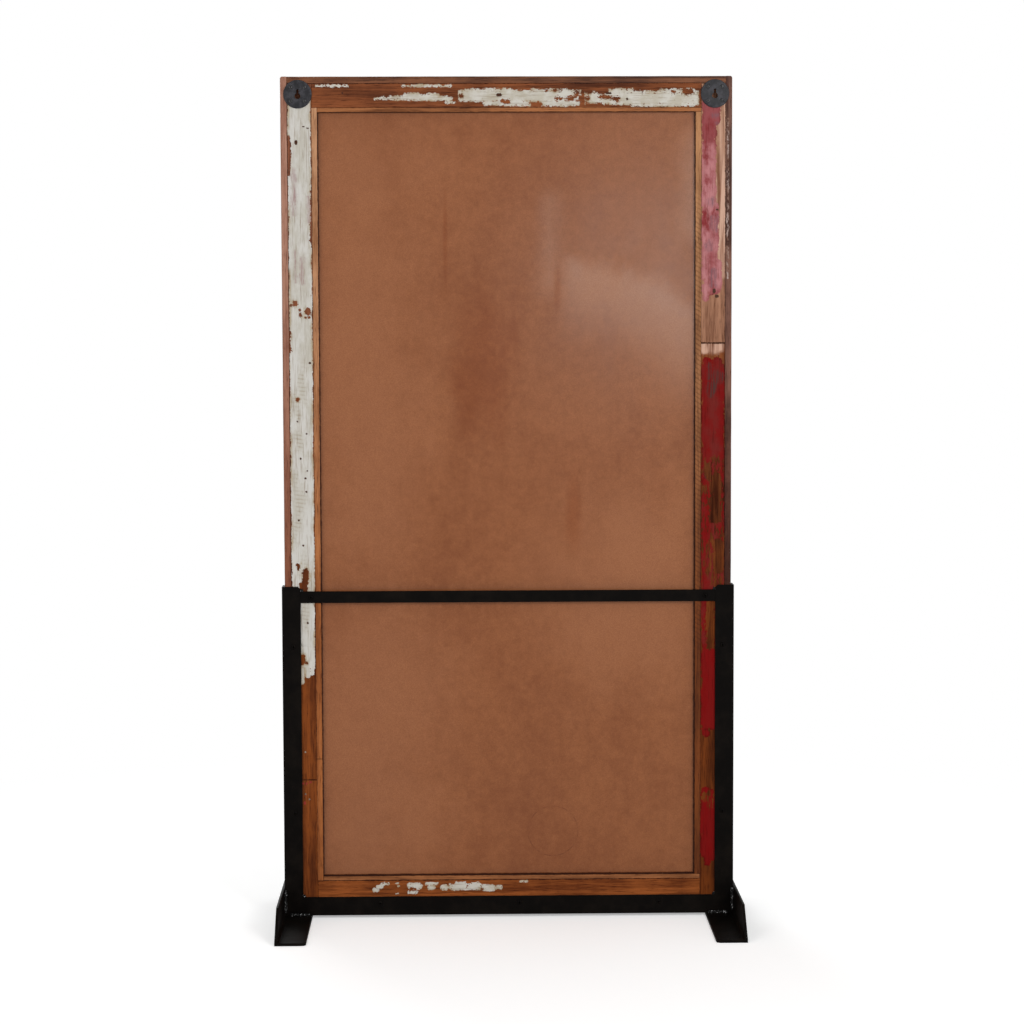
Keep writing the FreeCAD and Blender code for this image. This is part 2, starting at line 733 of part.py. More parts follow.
def add_sheet(label, clearance, front, thickness):
    """A flat sheet in the rebate, with a clearance all round."""
    body = frame_body(label)
    face = sketch_on(body, "XZ_Plane", f"-({front})")
    half = f"(rebate_half - {clearance})"
    draw_box(face, f"-{half}", half, f"rebate_low + {clearance}", f"rebate_high - {clearance}")
    add_pad(body, face, thickness, reverse=True)


def draw_keyhole(sketch):
    """Draw a keyhole: a round entry with a narrower slot that rises from it to a round end."""
    entry, slot = number("keyhole_entry_diameter") / 2, number("keyhole_slot_width") / 2
    low, high = -number("keyhole_drop"), number("keyhole_rise") - number("keyhole_drop")
    mouth = math.sqrt(entry ** 2 - slot ** 2)
    right = sketch.addGeometry(Part.LineSegment(Vector(slot, low + mouth, 0), Vector(slot, high, 0)), False)
    crown = Part.Circle(Vector(0, high, 0), Vector(0, 0, 1), slot)
    top = sketch.addGeometry(Part.ArcOfCircle(crown, 0, math.pi), False)
    left = sketch.addGeometry(Part.LineSegment(Vector(-slot, high, 0), Vector(-slot, low + mouth, 0)), False)
    ring = Part.Circle(Vector(0, low, 0), Vector(0, 0, 1), entry)
    lean = math.atan2(mouth, slot)
    bowl = sketch.addGeometry(Part.ArcOfCircle(ring, math.pi - lean, 2 * math.pi + lean), False)
    for first, last in ((right, top), (top, left)):
        sketch.addConstraint(Sketcher.Constraint("Tangent", first, 2, last, 1))
    for first, last in ((left, bowl), (bowl, right)):
        sketch.addConstraint(Sketcher.Constraint("Coincident", first, 2, last, 1))
    for line in (right, left):
        sketch.addConstraint(Sketcher.Constraint("Vertical", line))
    hold_point(sketch, top, 3, "0", "keyhole_rise - keyhole_drop")
    hold_point(sketch, bowl, 3, "0", "-keyhole_drop")
    hold_size(sketch, "Radius", top, "keyhole_slot_width / 2")
    hold_size(sketch, "Radius", bowl, "keyhole_entry_diameter / 2")


def add_hanger_plate(side):
    """A round keyhole plate on the frame's back, with countersunk holes on its diagonals."""
    body = frame_body(f"{side}_hanger_plate")
    back, height = "frame_front + frame_depth", "shelf_top + hanger_height"
    bind_place(body, f"{SIDES[side]} * hanger_half", back, height)
    disc = sketch_on(body, "XZ_Plane")
    draw_circle(disc, "0", "0", "hanger_diameter")
    add_pad(body, disc, "hanger_thickness", reverse=True)
    keyhole = sketch_on(body, "XZ_Plane")
    draw_keyhole(keyhole)
    add_cut(body, keyhole)
    holes = sketch_on(body, "XZ_Plane")
    sinks = sketch_on(body, "XZ_Plane", "-hanger_thickness")
    for x, z in hanger_screw_places():
        draw_circle(holes, x, z, "hanger_screw_diameter + 2 * hole_clearance")
        draw_circle(sinks, x, z, "hanger_screw_head_diameter + 2 * hole_clearance")
    add_cut(body, holes)
    add_cut(body, sinks, "hanger_screw_bevel", reverse=True, taper=COUNTERSINK_DEGREES)


def add_fasteners():
    """The screws, pins and dowels, each kind drawn once and set where its pieces meet."""
    rear = FreeCAD.Rotation()
    pan_screw = add_turning("pan_screw", [
        ("0", "screw_head_height"), ("screw_head_diameter / 2 - screw_head_bevel", "screw_head_height"),
        ("screw_head_diameter / 2", "screw_head_height - screw_head_bevel"),
        ("screw_head_diameter / 2", "0"), ("screw_diameter / 2", "0"),
        ("screw_diameter / 2", "screw_tip - screw_length"), ("0", "-screw_length"),
    ])
    uprights, bars = [], []
    for sign in SIDES.values():
        places = [(x, "stand_back", z, rear) for x, z in stand_screw_places(sign)]
        uprights += places[:2]
        bars += places[2:]
    add_group("upright_screws", pan_screw, uprights)
    add_group("cross_bar_screws", pan_screw, bars)
    shelf = [(x, "stand_back", "shelf_screw_height", rear) for x in shelf_screw_places()]
    add_group("shelf_screws", pan_screw, shelf)

    flat_screw = add_turning("flat_screw", [
        ("0", "0"), ("hanger_screw_head_diameter / 2", "0"),
        ("hanger_screw_diameter / 2", "-hanger_screw_bevel"),
        ("hanger_screw_diameter / 2", "hanger_screw_tip - hanger_screw_length"),
        ("0", "-hanger_screw_length"),
    ])
    plate_face = "frame_front + frame_depth + hanger_thickness"
    add_group("hanger_screws", flat_screw, [
        (f"{sign} * hanger_half + {x}", plate_face, f"shelf_top + hanger_height + {z}", rear)
        for sign in SIDES.values() for x, z in hanger_screw_places()
    ])

    pin = new_body("flat_pin")
    side = sketch_on(pin, "XY_Plane")
    draw_outline(side, [
        ("-pin_width / 2", "0"), ("-pin_width / 2", "pin_tip - pin_length"), ("0", "-pin_length"),
        ("pin_width / 2", "pin_tip - pin_length"), ("pin_width / 2", "0"),
    ])
    add_pad(pin, side, "pin_thickness", side="Symmetric")
    depth = "frame_front + bead_middle"
    pins = []
    for sign in SIDES.values():
        outward = FreeCAD.Rotation(Vector(0, 0, 1), sign * QUARTER_TURN_DEGREES)
        face = f"{sign} * (rebate_half - stile_bead_width)"
        pins += [(face, depth, f"shelf_top + {z}", outward) for z in stile_pin_heights()]
    for edge, way in (("bottom", 1), ("top", -1)):
        outward = FreeCAD.Rotation(Vector(1, 0, 0), way * QUARTER_TURN_DEGREES)
        face = f"shelf_top + {on_edge(edge, f'{edge}_rebate_inset + rail_bead_width')}"
        pins += [(x, depth, face, outward) for x in rail_pin_places()]
    add_group("bead_pins", pin, pins)

    dowel = add_turning("dowel", [
        ("0", "-dowel_length / 2"), ("dowel_diameter / 2 - dowel_bevel", "-dowel_length / 2"),
        ("dowel_diameter / 2", "dowel_bevel - dowel_length / 2"),
        ("dowel_diameter / 2", "dowel_length / 2 - dowel_bevel"),
        ("dowel_diameter / 2 - dowel_bevel", "dowel_length / 2"), ("0", "dowel_length / 2"),
    ])
    upright = FreeCAD.Rotation(Vector(1, 0, 0), QUARTER_TURN_DEGREES)
    depth = "frame_front + frame_depth / 2"
    add_group("splice_dowels", dowel, [
        (x, depth, f"shelf_top + {side}_splice_height", upright)
        for side, sign in SIDES.items() for x in dowel_places(sign)
    ])


def build():
    """Make every piece of the stand and the frame."""
    fill_sheet()
    for side in SIDES:
        add_upright(side)
        add_foot(side)
    add_shelf_rail()
    add_cross_bar()
    add_welds()
    for side in SIDES:
        for level in ("lower", "upper"):
            add_stile(side, level)
        add_side_rim(side)
        add_stile_bead(side)
        add_hanger_plate(side)
    for edge in ("bottom", "top"):
        add_rail(edge)
        add_cross_rim(edge)
        add_rail_bead(edge)
    add_sheet("mirror_glass", "glass_clearance", "lip_depth", "glass_thickness")
    add_sheet("back_panel", "panel_clearance", "panel_front", "panel_thickness")
    add_fasteners()
    document.recompute()


def check():
    """Refuse a document in which any object failed or any piece is empty or invalid."""
    for item in document.Objects:
        if "Invalid" in item.State or "Error" in item.State:
            raise ValueError(f"{item.Label} failed: {item.State}")
    for label, node in nodes.items():
        if node.Shape.isNull() or not node.Shape.isValid() or not node.Shape.Solids:
            raise ValueError(f"{label} has no valid solid")


def export():
    """Write each piece to its own file."""
    os.makedirs("parts", exist_ok=True)
    for label, node in nodes.items():
        node.Shape.exportStep(f"parts/{label}.step")
        print(f"{label}: {len(node.Shape.Solids)} solids, {node.Shape.Volume / 1000:.1f} cm3")


build()
check()
export()
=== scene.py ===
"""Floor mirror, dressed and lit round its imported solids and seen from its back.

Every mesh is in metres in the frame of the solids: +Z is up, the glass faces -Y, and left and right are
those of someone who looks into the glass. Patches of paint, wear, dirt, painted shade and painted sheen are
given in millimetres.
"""
import logging
import math
from collections.abc import Iterable, Sequence
from dataclasses import dataclass
from enum import Enum
from functools import reduce

import bmesh
import bpy
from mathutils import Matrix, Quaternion, Vector, noise


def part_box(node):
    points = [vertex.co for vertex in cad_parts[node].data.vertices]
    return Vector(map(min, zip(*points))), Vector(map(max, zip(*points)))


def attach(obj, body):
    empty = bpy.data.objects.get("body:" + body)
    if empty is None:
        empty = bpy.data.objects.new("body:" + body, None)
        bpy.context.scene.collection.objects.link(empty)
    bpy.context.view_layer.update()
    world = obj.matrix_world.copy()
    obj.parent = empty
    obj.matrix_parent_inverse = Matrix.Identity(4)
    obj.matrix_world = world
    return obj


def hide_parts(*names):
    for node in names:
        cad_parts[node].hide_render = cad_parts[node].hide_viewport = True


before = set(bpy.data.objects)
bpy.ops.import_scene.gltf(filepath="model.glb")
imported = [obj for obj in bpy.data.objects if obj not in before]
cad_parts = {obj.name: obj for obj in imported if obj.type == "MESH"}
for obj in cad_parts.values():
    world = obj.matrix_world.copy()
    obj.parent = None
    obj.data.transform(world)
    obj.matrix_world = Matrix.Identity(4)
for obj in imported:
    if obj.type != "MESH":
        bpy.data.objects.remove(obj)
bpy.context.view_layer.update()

log = logging.getLogger("floor_mirror")

Colour = tuple[float, float, float]
Point = tuple[float, float, float]
Span = tuple[float, float]
Material = bpy.types.Material
Mesh = bmesh.types.BMesh
Socket = bpy.types.NodeSocket
Input = float | Sequence[float] | Socket
Inputs = dict[str | int, Input]

MILLIMETRE = 0.001
ALONG_X = Vector((1, 0, 0))
ALONG_Z = Vector((0, 0, 1))
WHITE = (1.0, 1.0, 1.0, 1.0)


class Slot(Enum):
    """The record's names of the finishes."""

    BARE_WOOD = "bare_wood"
    WHITE_PAINT = "white_paint"
    RED_PAINT = "red_paint"
    FADED_RED_PAINT = "faded_red_paint"
    RIM_WOOD = "rim_wood"
    BEAD_WOOD = "bead_wood"
    HARDBOARD = "hardboard"
    MIRROR = "mirror"
    BLACK_STEEL = "black_steel"
    GREY_STEEL = "grey_steel"
    BRIGHT_STEEL = "bright_steel"


class Grain(Enum):
    """The way that a strip of wood runs, as the stretch of its figure along the three axes."""

    UP = (1.0, 1.0, 0.045)
    ACROSS = (0.045, 1.0, 1.0)

    @property
    def axis(self) -> Vector:
        """The direction along the grain."""
        return ALONG_Z if self is Grain.UP else ALONG_X


@dataclass(frozen=True)
class Noise:
    """A kind of noise: its features on a metre, its finer layers, how strong they are, and its swirl."""

    scale: float
    detail: float = 4.0
    roughness: float = 0.55
    swirl: float = 0.0


@dataclass(frozen=True)
class Patch:
    """An upright rectangle on the object, by its middle and half sizes in millimetres."""

    x: float
    z: float
    half_x: float
    half_z: float


Patches = tuple[Patch, ...]


def patches(*rows: tuple[float, float, float, float]) -> Patches:
    """Return the patches that some rows of middles and half sizes name."""
    return tuple(Patch(*row) for row in rows)


def linear(colour: Colour) -> tuple[float, float, float, float]:
    """Return the linear colour with full alpha for a screen colour of 0 to 255."""
    shares = [part / 255 for part in colour]
    return (*(s / 12.92 if s <= 0.04045 else ((s + 0.055) / 1.055) ** 2.4 for s in shares), 1.0)


class Graph:
    """A node tree with short calls that add and join its nodes."""

    def __init__(self, tree: bpy.types.NodeTree) -> None:
        """Keep the tree that the calls add to."""
        self.tree = tree

    def add(self, kind: str, inputs: Inputs | None = None, **settings: object) -> bpy.types.Node:
        """Add one node.

        Args:
            kind: the node's type.
            inputs: a value or another node's output for each input, by name or number.
            settings: the node's own properties.

        Returns:
            The node.
        """
        node = self.tree.nodes.new(kind)
        for name, setting in settings.items():
            setattr(node, name, setting)
        for key, value in (inputs or {}).items():
            if isinstance(value, Socket):
                self.tree.links.new(value, node.inputs[key])
            else:
                node.inputs[key].default_value = value
        return node

    def out(self, kind: str, inputs: Inputs | None = None, **settings: object) -> Socket:
        """Add one node and return its first output."""
        return self.add(kind, inputs, **settings).outputs[0]

    def math(self, operation: str, first: Input, second: Input = 0.0, third: Input = 0.0) -> Socket:
        """Return the result of a sum on numbers."""
        return self.out("ShaderNodeMath", {0: first, 1: second, 2: third}, operation=operation)

    def plus(self, first: Input, second: Input) -> Socket:
        """Return two numbers added up."""
        return self.math("ADD", first, second)

    def minus(self, first: Input, second: Input) -> Socket:
        """Return the first number less the second."""
        return self.math("SUBTRACT", first, second)

    def times(self, first: Input, second: Input) -> Socket:
        """Return the product of two numbers."""
        return self.math("MULTIPLY", first, second)

    def scaled(self, value: Input, factor: Input, offset: Input) -> Socket:
        """Return a value times a factor, plus an offset."""
        return self.math("MULTIPLY_ADD", value, factor, offset)

    def larger(self, first: Input, second: Input) -> Socket:
        """Return the larger of two numbers."""
        return self.math("MAXIMUM", first, second)

    def vector(self, operation: str, first: Input, second: Input = (0.0, 0.0, 0.0)) -> Socket:
        """Return the result of a sum on vectors."""
        return self.out("ShaderNodeVectorMath", {0: first, 1: second}, operation=operation)

    def noise(self, place: Socket, kind: Noise) -> Socket:
        """Return smooth noise of about 0 to 1 at a place."""
        return self.out("ShaderNodeTexNoise", {
            "Vector": place, "Scale": kind.scale, "Detail": kind.detail, "Roughness": kind.roughness,
            "Distortion": kind.swirl,
        })

    def ramp(self, value: Input, low: float, high: float, start: float = 0.0, end: float = 1.0) -> Socket:
        """Ease a value from start to end while it goes from low to high."""
        inputs = {"Value": value, "From Min": low, "From Max": high, "To Min": start, "To Max": end}
        return self.out("ShaderNodeMapRange", inputs, interpolation_type="SMOOTHSTEP")


class MaterialGraph(Graph):
    """A material's tree, on coordinates that are the object's own metres."""

    # The depths in metres between which the planks' sides give way to their back.
    back_of_planks: Span = (-0.0312, -0.0297)
    # The distance in metres between two marks of a saw or a plane.
    ripple_pitch: float = 0.0085

    def __init__(self, name: str) -> None:
        """Start a material with an empty tree.

        Args:
            name: the material's name.
        """
        self.material = bpy.data.materials.new(name)
        self.material.use_nodes = True
        super().__init__(self.material.node_tree)
        self.tree.nodes.clear()
        self.place = self.add("ShaderNodeTexCoord").outputs["Object"]
        self.flat = self.vector("MULTIPLY", self.place, (1 / MILLIMETRE, 0.0, 1 / MILLIMETRE))
        sides = self.add("ShaderNodeSeparateXYZ", {0: self.flat}).outputs
        self.across, self.up = sides["X"], sides["Z"]

    def stretched(self, scale: Sequence[float], turn: Sequence[float] = (0.0, 0.0, 0.0)) -> Socket:
        """Return the coordinates scaled and turned."""
        return self.out("ShaderNodeMapping", {"Vector": self.place, "Scale": scale, "Rotation": turn})

    def behind(self) -> Socket:
        """Return 1 on the back of the planks and 0 on their sides and front."""
        depth = self.add("ShaderNodeSeparateXYZ", {0: self.place}).outputs["Y"]
        return self.ramp(depth, *self.back_of_planks)

    def length(self, vector: Socket) -> Socket:
        """Return the length of a vector."""
        return self.add("ShaderNodeVectorMath", {0: vector}, operation="LENGTH").outputs["Value"]

    def offset(self, patch: Patch) -> Socket:
        """Return the way in millimetres from a patch's middle."""
        return self.vector("SUBTRACT", self.flat, (patch.x, 0.0, patch.z))

    def round_depth(self, patch: Patch) -> Socket:
        """Measure how deep a point lies inside a patch with half-round ends.

        Args:
            patch: the place.

        Returns:
            The depth in millimetres, below zero outside.
        """
        corner = min(patch.half_x, patch.half_z)
        core = (patch.half_x - corner, 0.0, patch.half_z - corner)
        away = self.vector("ABSOLUTE", self.offset(patch))
        past = self.vector("MAXIMUM", self.vector("SUBTRACT", away, core))
        return self.minus(corner, self.length(past))

    def square_depth(self, field: Patch) -> Socket:
        """Return how deep in millimetres a point lies inside a patch with square corners."""
        across = self.room(self.across, field.x, field.half_x)
        return self.math("MINIMUM", across, self.room(self.up, field.z, field.half_z))

    def room(self, value: Socket, middle: float, half: float) -> Socket:
        """Return how far a value lies inside a span, by its middle and half size."""
        return self.minus(half, self.math("ABSOLUTE", self.minus(value, middle)))

    def depth_in(self, places: Iterable[Patch]) -> Socket:
        """Return how deep a point lies inside any of some patches with half-round ends."""
        return reduce(self.larger, map(self.round_depth, places))

    def within(self, places: Iterable[Patch], waver: Input, soft: float) -> Socket:
        """Return 1 in some patches and 0 outside, over a soft edge that a waver moves, in millimetres."""
        return self.ramp(self.plus(self.depth_in(places), waver), -soft, soft)

    def spread_from(self, patch: Patch) -> Socket:
        """Return the distance from a patch's middle, which is 1 on the oval that fills it."""
        scale = (1 / patch.half_x, 0.0, 1 / patch.half_z)
        return self.length(self.vector("MULTIPLY", self.offset(patch), scale))

    def waver(self, features: float, reach: float) -> Socket:
        """Return noise that swings about as far as a reach to both sides of zero."""
        swing = self.minus(self.noise(self.place, Noise(features, 4.0, 0.68)), 0.5)
        return self.times(swing, 6 * reach)

    def ripples(self, turn: float) -> Socket:
        """Return 1 on the even lines that a saw or a plane leaves, turned on the back, and 0 between."""
        wave = self.add("ShaderNodeTexWave", {
            "Vector": self.stretched((1.0, 1.0, 1.0), (0.0, turn, 0.0)),
            "Scale": math.tau / (20 * self.ripple_pitch),
            "Distortion": 1.6, "Detail": 2.0, "Detail Scale": 1.5,
        }, bands_direction="Z").outputs[1]
        return self.ramp(wave, 0.5, 0.95)

    def mix(self, share: Input, first: Socket | Colour, second: Socket | Colour, way: str = "MIX") -> Socket:
        """Return a blend of two colours, each a socket or a screen colour."""
        first, second = (end if isinstance(end, Socket) else linear(end) for end in (first, second))
        inputs = {0: share, 6: first, 7: second}
        return self.add("ShaderNodeMix", inputs, data_type="RGBA", blend_type=way).outputs[2]

    def shade(self, share: Input, colour: Socket, tint: Colour) -> Socket:
        """Return a colour multiplied by a tint, as far as a share says."""
        return self.mix(share, colour, tint, "MULTIPLY")

    def close(self, colour: Input, roughness: Input, height: Socket, rise: float,
              **constants: float) -> Material:
        """Join everything to a shader and finish the tree.

        Args:
            colour: the base colour.
            roughness: the surface's roughness.
            height: the relief, where 1 stands a rise above 0.
            rise: the relief's height in metres.
            constants: other inputs of the shader that are the same all over, with underscores for blanks.

        Returns:
            The finished material.
        """
        bump = self.out("ShaderNodeBump", {"Height": height, "Distance": rise, "Strength": 1.0})
        inputs = {"Base Color": colour, "Roughness": roughness, "Normal": bump}
        inputs.update({name.replace("_", " "): value for name, value in constants.items()})
        shader = self.out("ShaderNodeBsdfPrincipled", inputs)
        self.add("ShaderNodeOutputMaterial", {"Surface": shader})
        return self.material


@dataclass(frozen=True)
class EdgeShade:
    """Painted shade along a wavering edge, strongest at the outer depth in millimetres and gone at the inner
    one.
    """

    features: float
    reach: float
    inner: float
    outer: float
    tint: Colour

    def lay(self, graph: MaterialGraph, colour: Socket, field: Patch) -> Socket:
        """Return a colour with the painted shade along a field's edge."""
        depth = graph.plus(graph.square_depth(field), graph.waver(self.features, self.reach))
        return graph.shade(graph.ramp(depth, self.inner, self.outer), colour, self.tint)


# Painted shade in the gaps along the planks' edges, the beads' edges and the panel's edge by the beads.
PLANK_EDGE_SHADE = EdgeShade(120.0, 0.8, 1.6, 0.2, (96, 74, 60))
BEAD_EDGE_SHADE = EdgeShade(90.0, 0.5, 1.1, 0.2, (104, 78, 62))
PANEL_EDGE_SHADE = EdgeShade(50.0, 0.8, 3.0, 0.0, (112, 88, 76))

RINGS = Noise(85.0, 3.0, swirl=0.8)
FIBRES = Noise(620.0, 4.0, 0.7)
WOOD_CLOUDS = Noise(9.0, 3.0)
PORES: Colour = (150, 128, 116)
GRIME_AND_SHADE: Colour = (128, 106, 96)
BLEACHED: Colour = (196, 157, 136)
# The heights between which a wood goes over to its painted shade towards the floor, in millimetres.
PAINTED_SHADE_HEIGHTS: Span = (1650.0, 550.0)


@dataclass(frozen=True)
class Wood:
    """Bare wood: its dark and light growth, its grain and gloss, its painted shade towards the floor, and
    its marks.
    """

    dark: Colour
    light: Colour
    grain: Grain
    roughness: float = 0.62
    shine: float = 0.14
    below: Colour = (255, 255, 255)
    grime_and_shade: Patches = ()
    bleached: Patches = ()

    def figure(self, graph: MaterialGraph) -> tuple[Socket, Socket]:
        """Draw the figure of the wood.

        Args:
            graph: the material's tree.

        Returns:
            The colour, and the fibres' relief.
        """
        run = graph.stretched(self.grain.value)
        rings = graph.noise(run, RINGS)
        fibres = graph.noise(run, FIBRES)
        clouds = graph.noise(graph.place, WOOD_CLOUDS)
        tone = graph.scaled(fibres, 0.45, graph.times(rings, 0.75))
        tone = graph.scaled(clouds, 0.6, tone)
        colour = graph.mix(graph.ramp(tone, 0.68, 1.12), self.dark, self.light)
        colour = graph.shade(graph.ramp(fibres, 0.46, 0.32), colour, PORES)
        # Painted shade: the wood darkens towards the floor by its below tint.
        colour = graph.shade(graph.ramp(graph.up, *PAINTED_SHADE_HEIGHTS), colour, self.below)
        patch_waver = graph.waver(26.0, 7.0)
        streaks = graph.times(graph.ramp(rings, 0.32, 0.6), graph.behind())
        if self.grime_and_shade:
            # Darker patches: dirt on some strips, painted shade on the left rim.
            share = graph.times(graph.within(self.grime_and_shade, patch_waver, 20.0), streaks)
            colour = graph.shade(share, colour, GRIME_AND_SHADE)
        if self.bleached:
            share = graph.times(graph.within(self.bleached, patch_waver, 7.0), streaks)
            colour = graph.mix(share, colour, BLEACHED)
        return colour, fibres

    def gloss(self, graph: MaterialGraph, unevenness: Socket) -> Socket:
        """Return the roughness, which some noise makes uneven."""
        return graph.scaled(unevenness, 0.2, self.roughness - 0.1)


PAINT_CLOUDS = Noise(34.0, 6.0, 0.66)
BRUSH_MARKS = Noise(420.0, 3.0, 0.6)
BRUSH_DIRT: Colour = (216, 206, 198)
PLANE_MARKS: Colour = (196, 172, 146)


@dataclass(frozen=True)
class Coat:
    """A worn coat of paint on a plank's back; on the left rim, a coat paints highlights in dashes instead.

    It is left on some patches and on whole fields, gone from other patches and half worn through on more.
    It has kept its colour only on the fresh ones, if there are any, scuffs have rubbed it grey, and a
    plane's marks show. Its edge is ragged by some millimetres, its flakes are drawn out along the grain,
    and pits crowd at its edge.
    """

    colour: Colour
    faded: Colour
    left: Patches
    fields: Patches = ()
    gone: Patches = ()
    worn: Patches = ()
    fresh: Patches = ()
    scuffs: Patches = ()
    planed: Patches = ()
    scuff: Colour = (152, 124, 122)
    grime: Colour = (232, 216, 194)
    ragged: float = 2.0
    chips: float = 0.27
    pits: float = 0.12
    flake: float = 170.0
    stretch: float = 0.35
    soft: float = 0.012

    def run(self, graph: MaterialGraph, grain: Grain) -> Socket:
        """Return the coordinates that the coat's flakes and clouds lie on, drawn out along the grain."""
        return graph.stretched([1.0 if share == 1.0 else self.stretch for share in grain.value])

    def cover(self, graph: MaterialGraph, grain: Grain) -> tuple[Socket, Socket]:
        """Work out where the coat still covers the wood.

        Args:
            graph: the material's tree.
            grain: the way of the wood below, along which the paint flakes.

        Returns:
            1 on paint and 0 on bare wood, and the distance in millimetres to the coat's edge.
        """
        waver = graph.plus(graph.waver(50.0, self.ragged), graph.waver(260.0, 0.7 * self.ragged))
        depth = graph.depth_in(self.left)
        if self.fields:
            depth = graph.larger(depth, reduce(graph.larger, map(graph.square_depth, self.fields)))
        edge = graph.plus(depth, waver)
        if self.gone:
            hole = graph.minus(graph.times(waver, 2.2), graph.depth_in(self.gone))
            edge = graph.math("MINIMUM", edge, hole)
        flakes = graph.noise(self.run(graph, grain), Noise(self.flake, 5.0, 0.62))
        flakes = graph.minus(flakes, graph.ramp(edge, 7.0, 0.0, 0.0, self.pits))
        if self.worn:
            thin = graph.within(self.worn, graph.waver(30.0, 6.0), 14.0)
            flakes = graph.scaled(thin, -0.19, flakes)
        unbroken = graph.ramp(edge, -0.3, 0.3)
        kept = graph.times(unbroken, graph.ramp(flakes, self.chips - self.soft, self.chips + self.soft))
        return graph.times(kept, graph.behind()), edge

    def tint(self, graph: MaterialGraph, grain: Grain, edge: Socket) -> Socket:
        """Colour the paint, faded in clouds, stained along its edge and dirty along the brush marks.

        Args:
            graph: the material's tree.
            grain: the way of the brush marks.
            edge: the distance in millimetres to the coat's edge.

        Returns:
            The paint's colour.
        """
        clouds = graph.noise(self.run(graph, grain), PAINT_CLOUDS)
        streaks = graph.noise(graph.stretched(grain.value), BRUSH_MARKS)
        if self.fresh:
            kept = graph.within(self.fresh, graph.waver(22.0, 16.0), 22.0)
            fade = graph.times(graph.ramp(kept, 0.0, 1.0, 1.0, 0.25), graph.ramp(clouds, 0.3, 0.55))
        else:
            fade = graph.ramp(clouds, 0.38, 0.6)
        colour = graph.mix(fade, self.colour, self.faded)
        colour = graph.shade(graph.ramp(streaks, 0.47, 0.32), colour, BRUSH_DIRT)
        stain = graph.times(graph.ramp(edge, 6.0, 0.5), graph.ramp(clouds, 0.44, 0.58))
        colour = graph.shade(stain, colour, self.grime)
        if self.scuffs:
            rub = graph.within(self.scuffs, graph.waver(90.0, 3.0), 4.0)
            rub = graph.times(rub, graph.ramp(streaks, 0.42, 0.58, 0.1, 0.85))
            colour = graph.mix(rub, colour, self.scuff)
        if self.planed:
            lines = graph.times(graph.ripples(0.12), graph.ramp(clouds, 0.45, 0.6))
            lines = graph.times(lines, graph.within(self.planed, graph.waver(40.0, 6.0), 8.0))
            colour = graph.shade(graph.times(lines, 0.35), colour, PLANE_MARKS)
        return colour


PLANK_SMEARS = Noise(30.0, 4.0)
NAIL_HOLE: Colour = (66, 40, 28)
PLANK_RISE = 0.0004


@dataclass(frozen=True)
class PlankFinish:
    """A plank of used wood with what is left of its paint, old nail holes and painted shade along its edge.
    """

    name: str
    wood: Wood
    coat: Coat | None = None
    edge: Patch | None = None
    holes: Patches = ()

    def build(self) -> Material:
        """Make the material.

        Returns:
            The finished material.
        """
        graph = MaterialGraph(self.name)
        colour, height = self.wood.figure(graph)
        height = graph.times(height, 0.45)
        if self.coat is not None:
            cover, edge = self.coat.cover(graph, self.wood.grain)
            colour = graph.mix(cover, colour, self.coat.tint(graph, self.wood.grain, edge))
            height = graph.scaled(cover, 0.6, height)
        if self.holes:
            hole = graph.within(self.holes, graph.waver(420.0, 0.9), 0.5)
            colour = graph.mix(hole, colour, NAIL_HOLE)
            height = graph.scaled(hole, -0.8, height)
        if self.edge is not None:
            # Painted shade along the plank's edges and joints.
            colour = PLANK_EDGE_SHADE.lay(graph, colour, self.edge)
        gloss = self.wood.gloss(graph, graph.noise(graph.place, PLANK_SMEARS))
        return graph.close(colour, gloss, height, PLANK_RISE, Specular_IOR_Level=self.wood.shine)


SAW_MARKS: Colour = (166, 148, 136)
BUTT_JOINT: Colour = (96, 72, 58)
SAWN_RISE = 0.0003


@dataclass(frozen=True)
class SawnFinish:
    """A sawn strip, with painted shade along its edges and the saw's slanted marks where it has kept them.
    """

    name: str
    wood: Wood
    edge: Patch
    sawn: Patches = ()
    joints: Patches = ()

    def build(self) -> Material:
        """Make the material.

        Returns:
            The finished material.
        """
        graph = MaterialGraph(self.name)
        colour, height = self.wood.figure(graph)
        if self.sawn:
            marks = graph.times(graph.ripples(0.6), graph.within(self.sawn, graph.waver(12.0, 30.0), 90.0))
            marks = graph.times(marks, graph.ramp(height, 0.4, 0.6, 0.2, 0.7))
            colour = graph.shade(marks, colour, SAW_MARKS)
            height = graph.scaled(marks, -0.6, height)
        if self.joints:
            colour = graph.shade(graph.within(self.joints, 0.0, 0.4), colour, BUTT_JOINT)
        # Painted shade along the bead's edges.
        colour = BEAD_EDGE_SHADE.lay(graph, colour, self.edge)
        gloss = self.wood.gloss(graph, height)
        return graph.close(colour, gloss, height, SAWN_RISE, Specular_IOR_Level=self.wood.shine)


BOARD_CLOUDS = Noise(5.5, 7.0, 0.62, 0.3)
BOARD_SMEARS = Noise(7.0, 6.0, 0.6, 0.6)
BOARD_MOTTLE = Noise(60.0, 5.0, 0.7)
BOARD_FIBRES = Noise(700.0, 3.0, 0.8)
BOARD_RISE = 0.0004


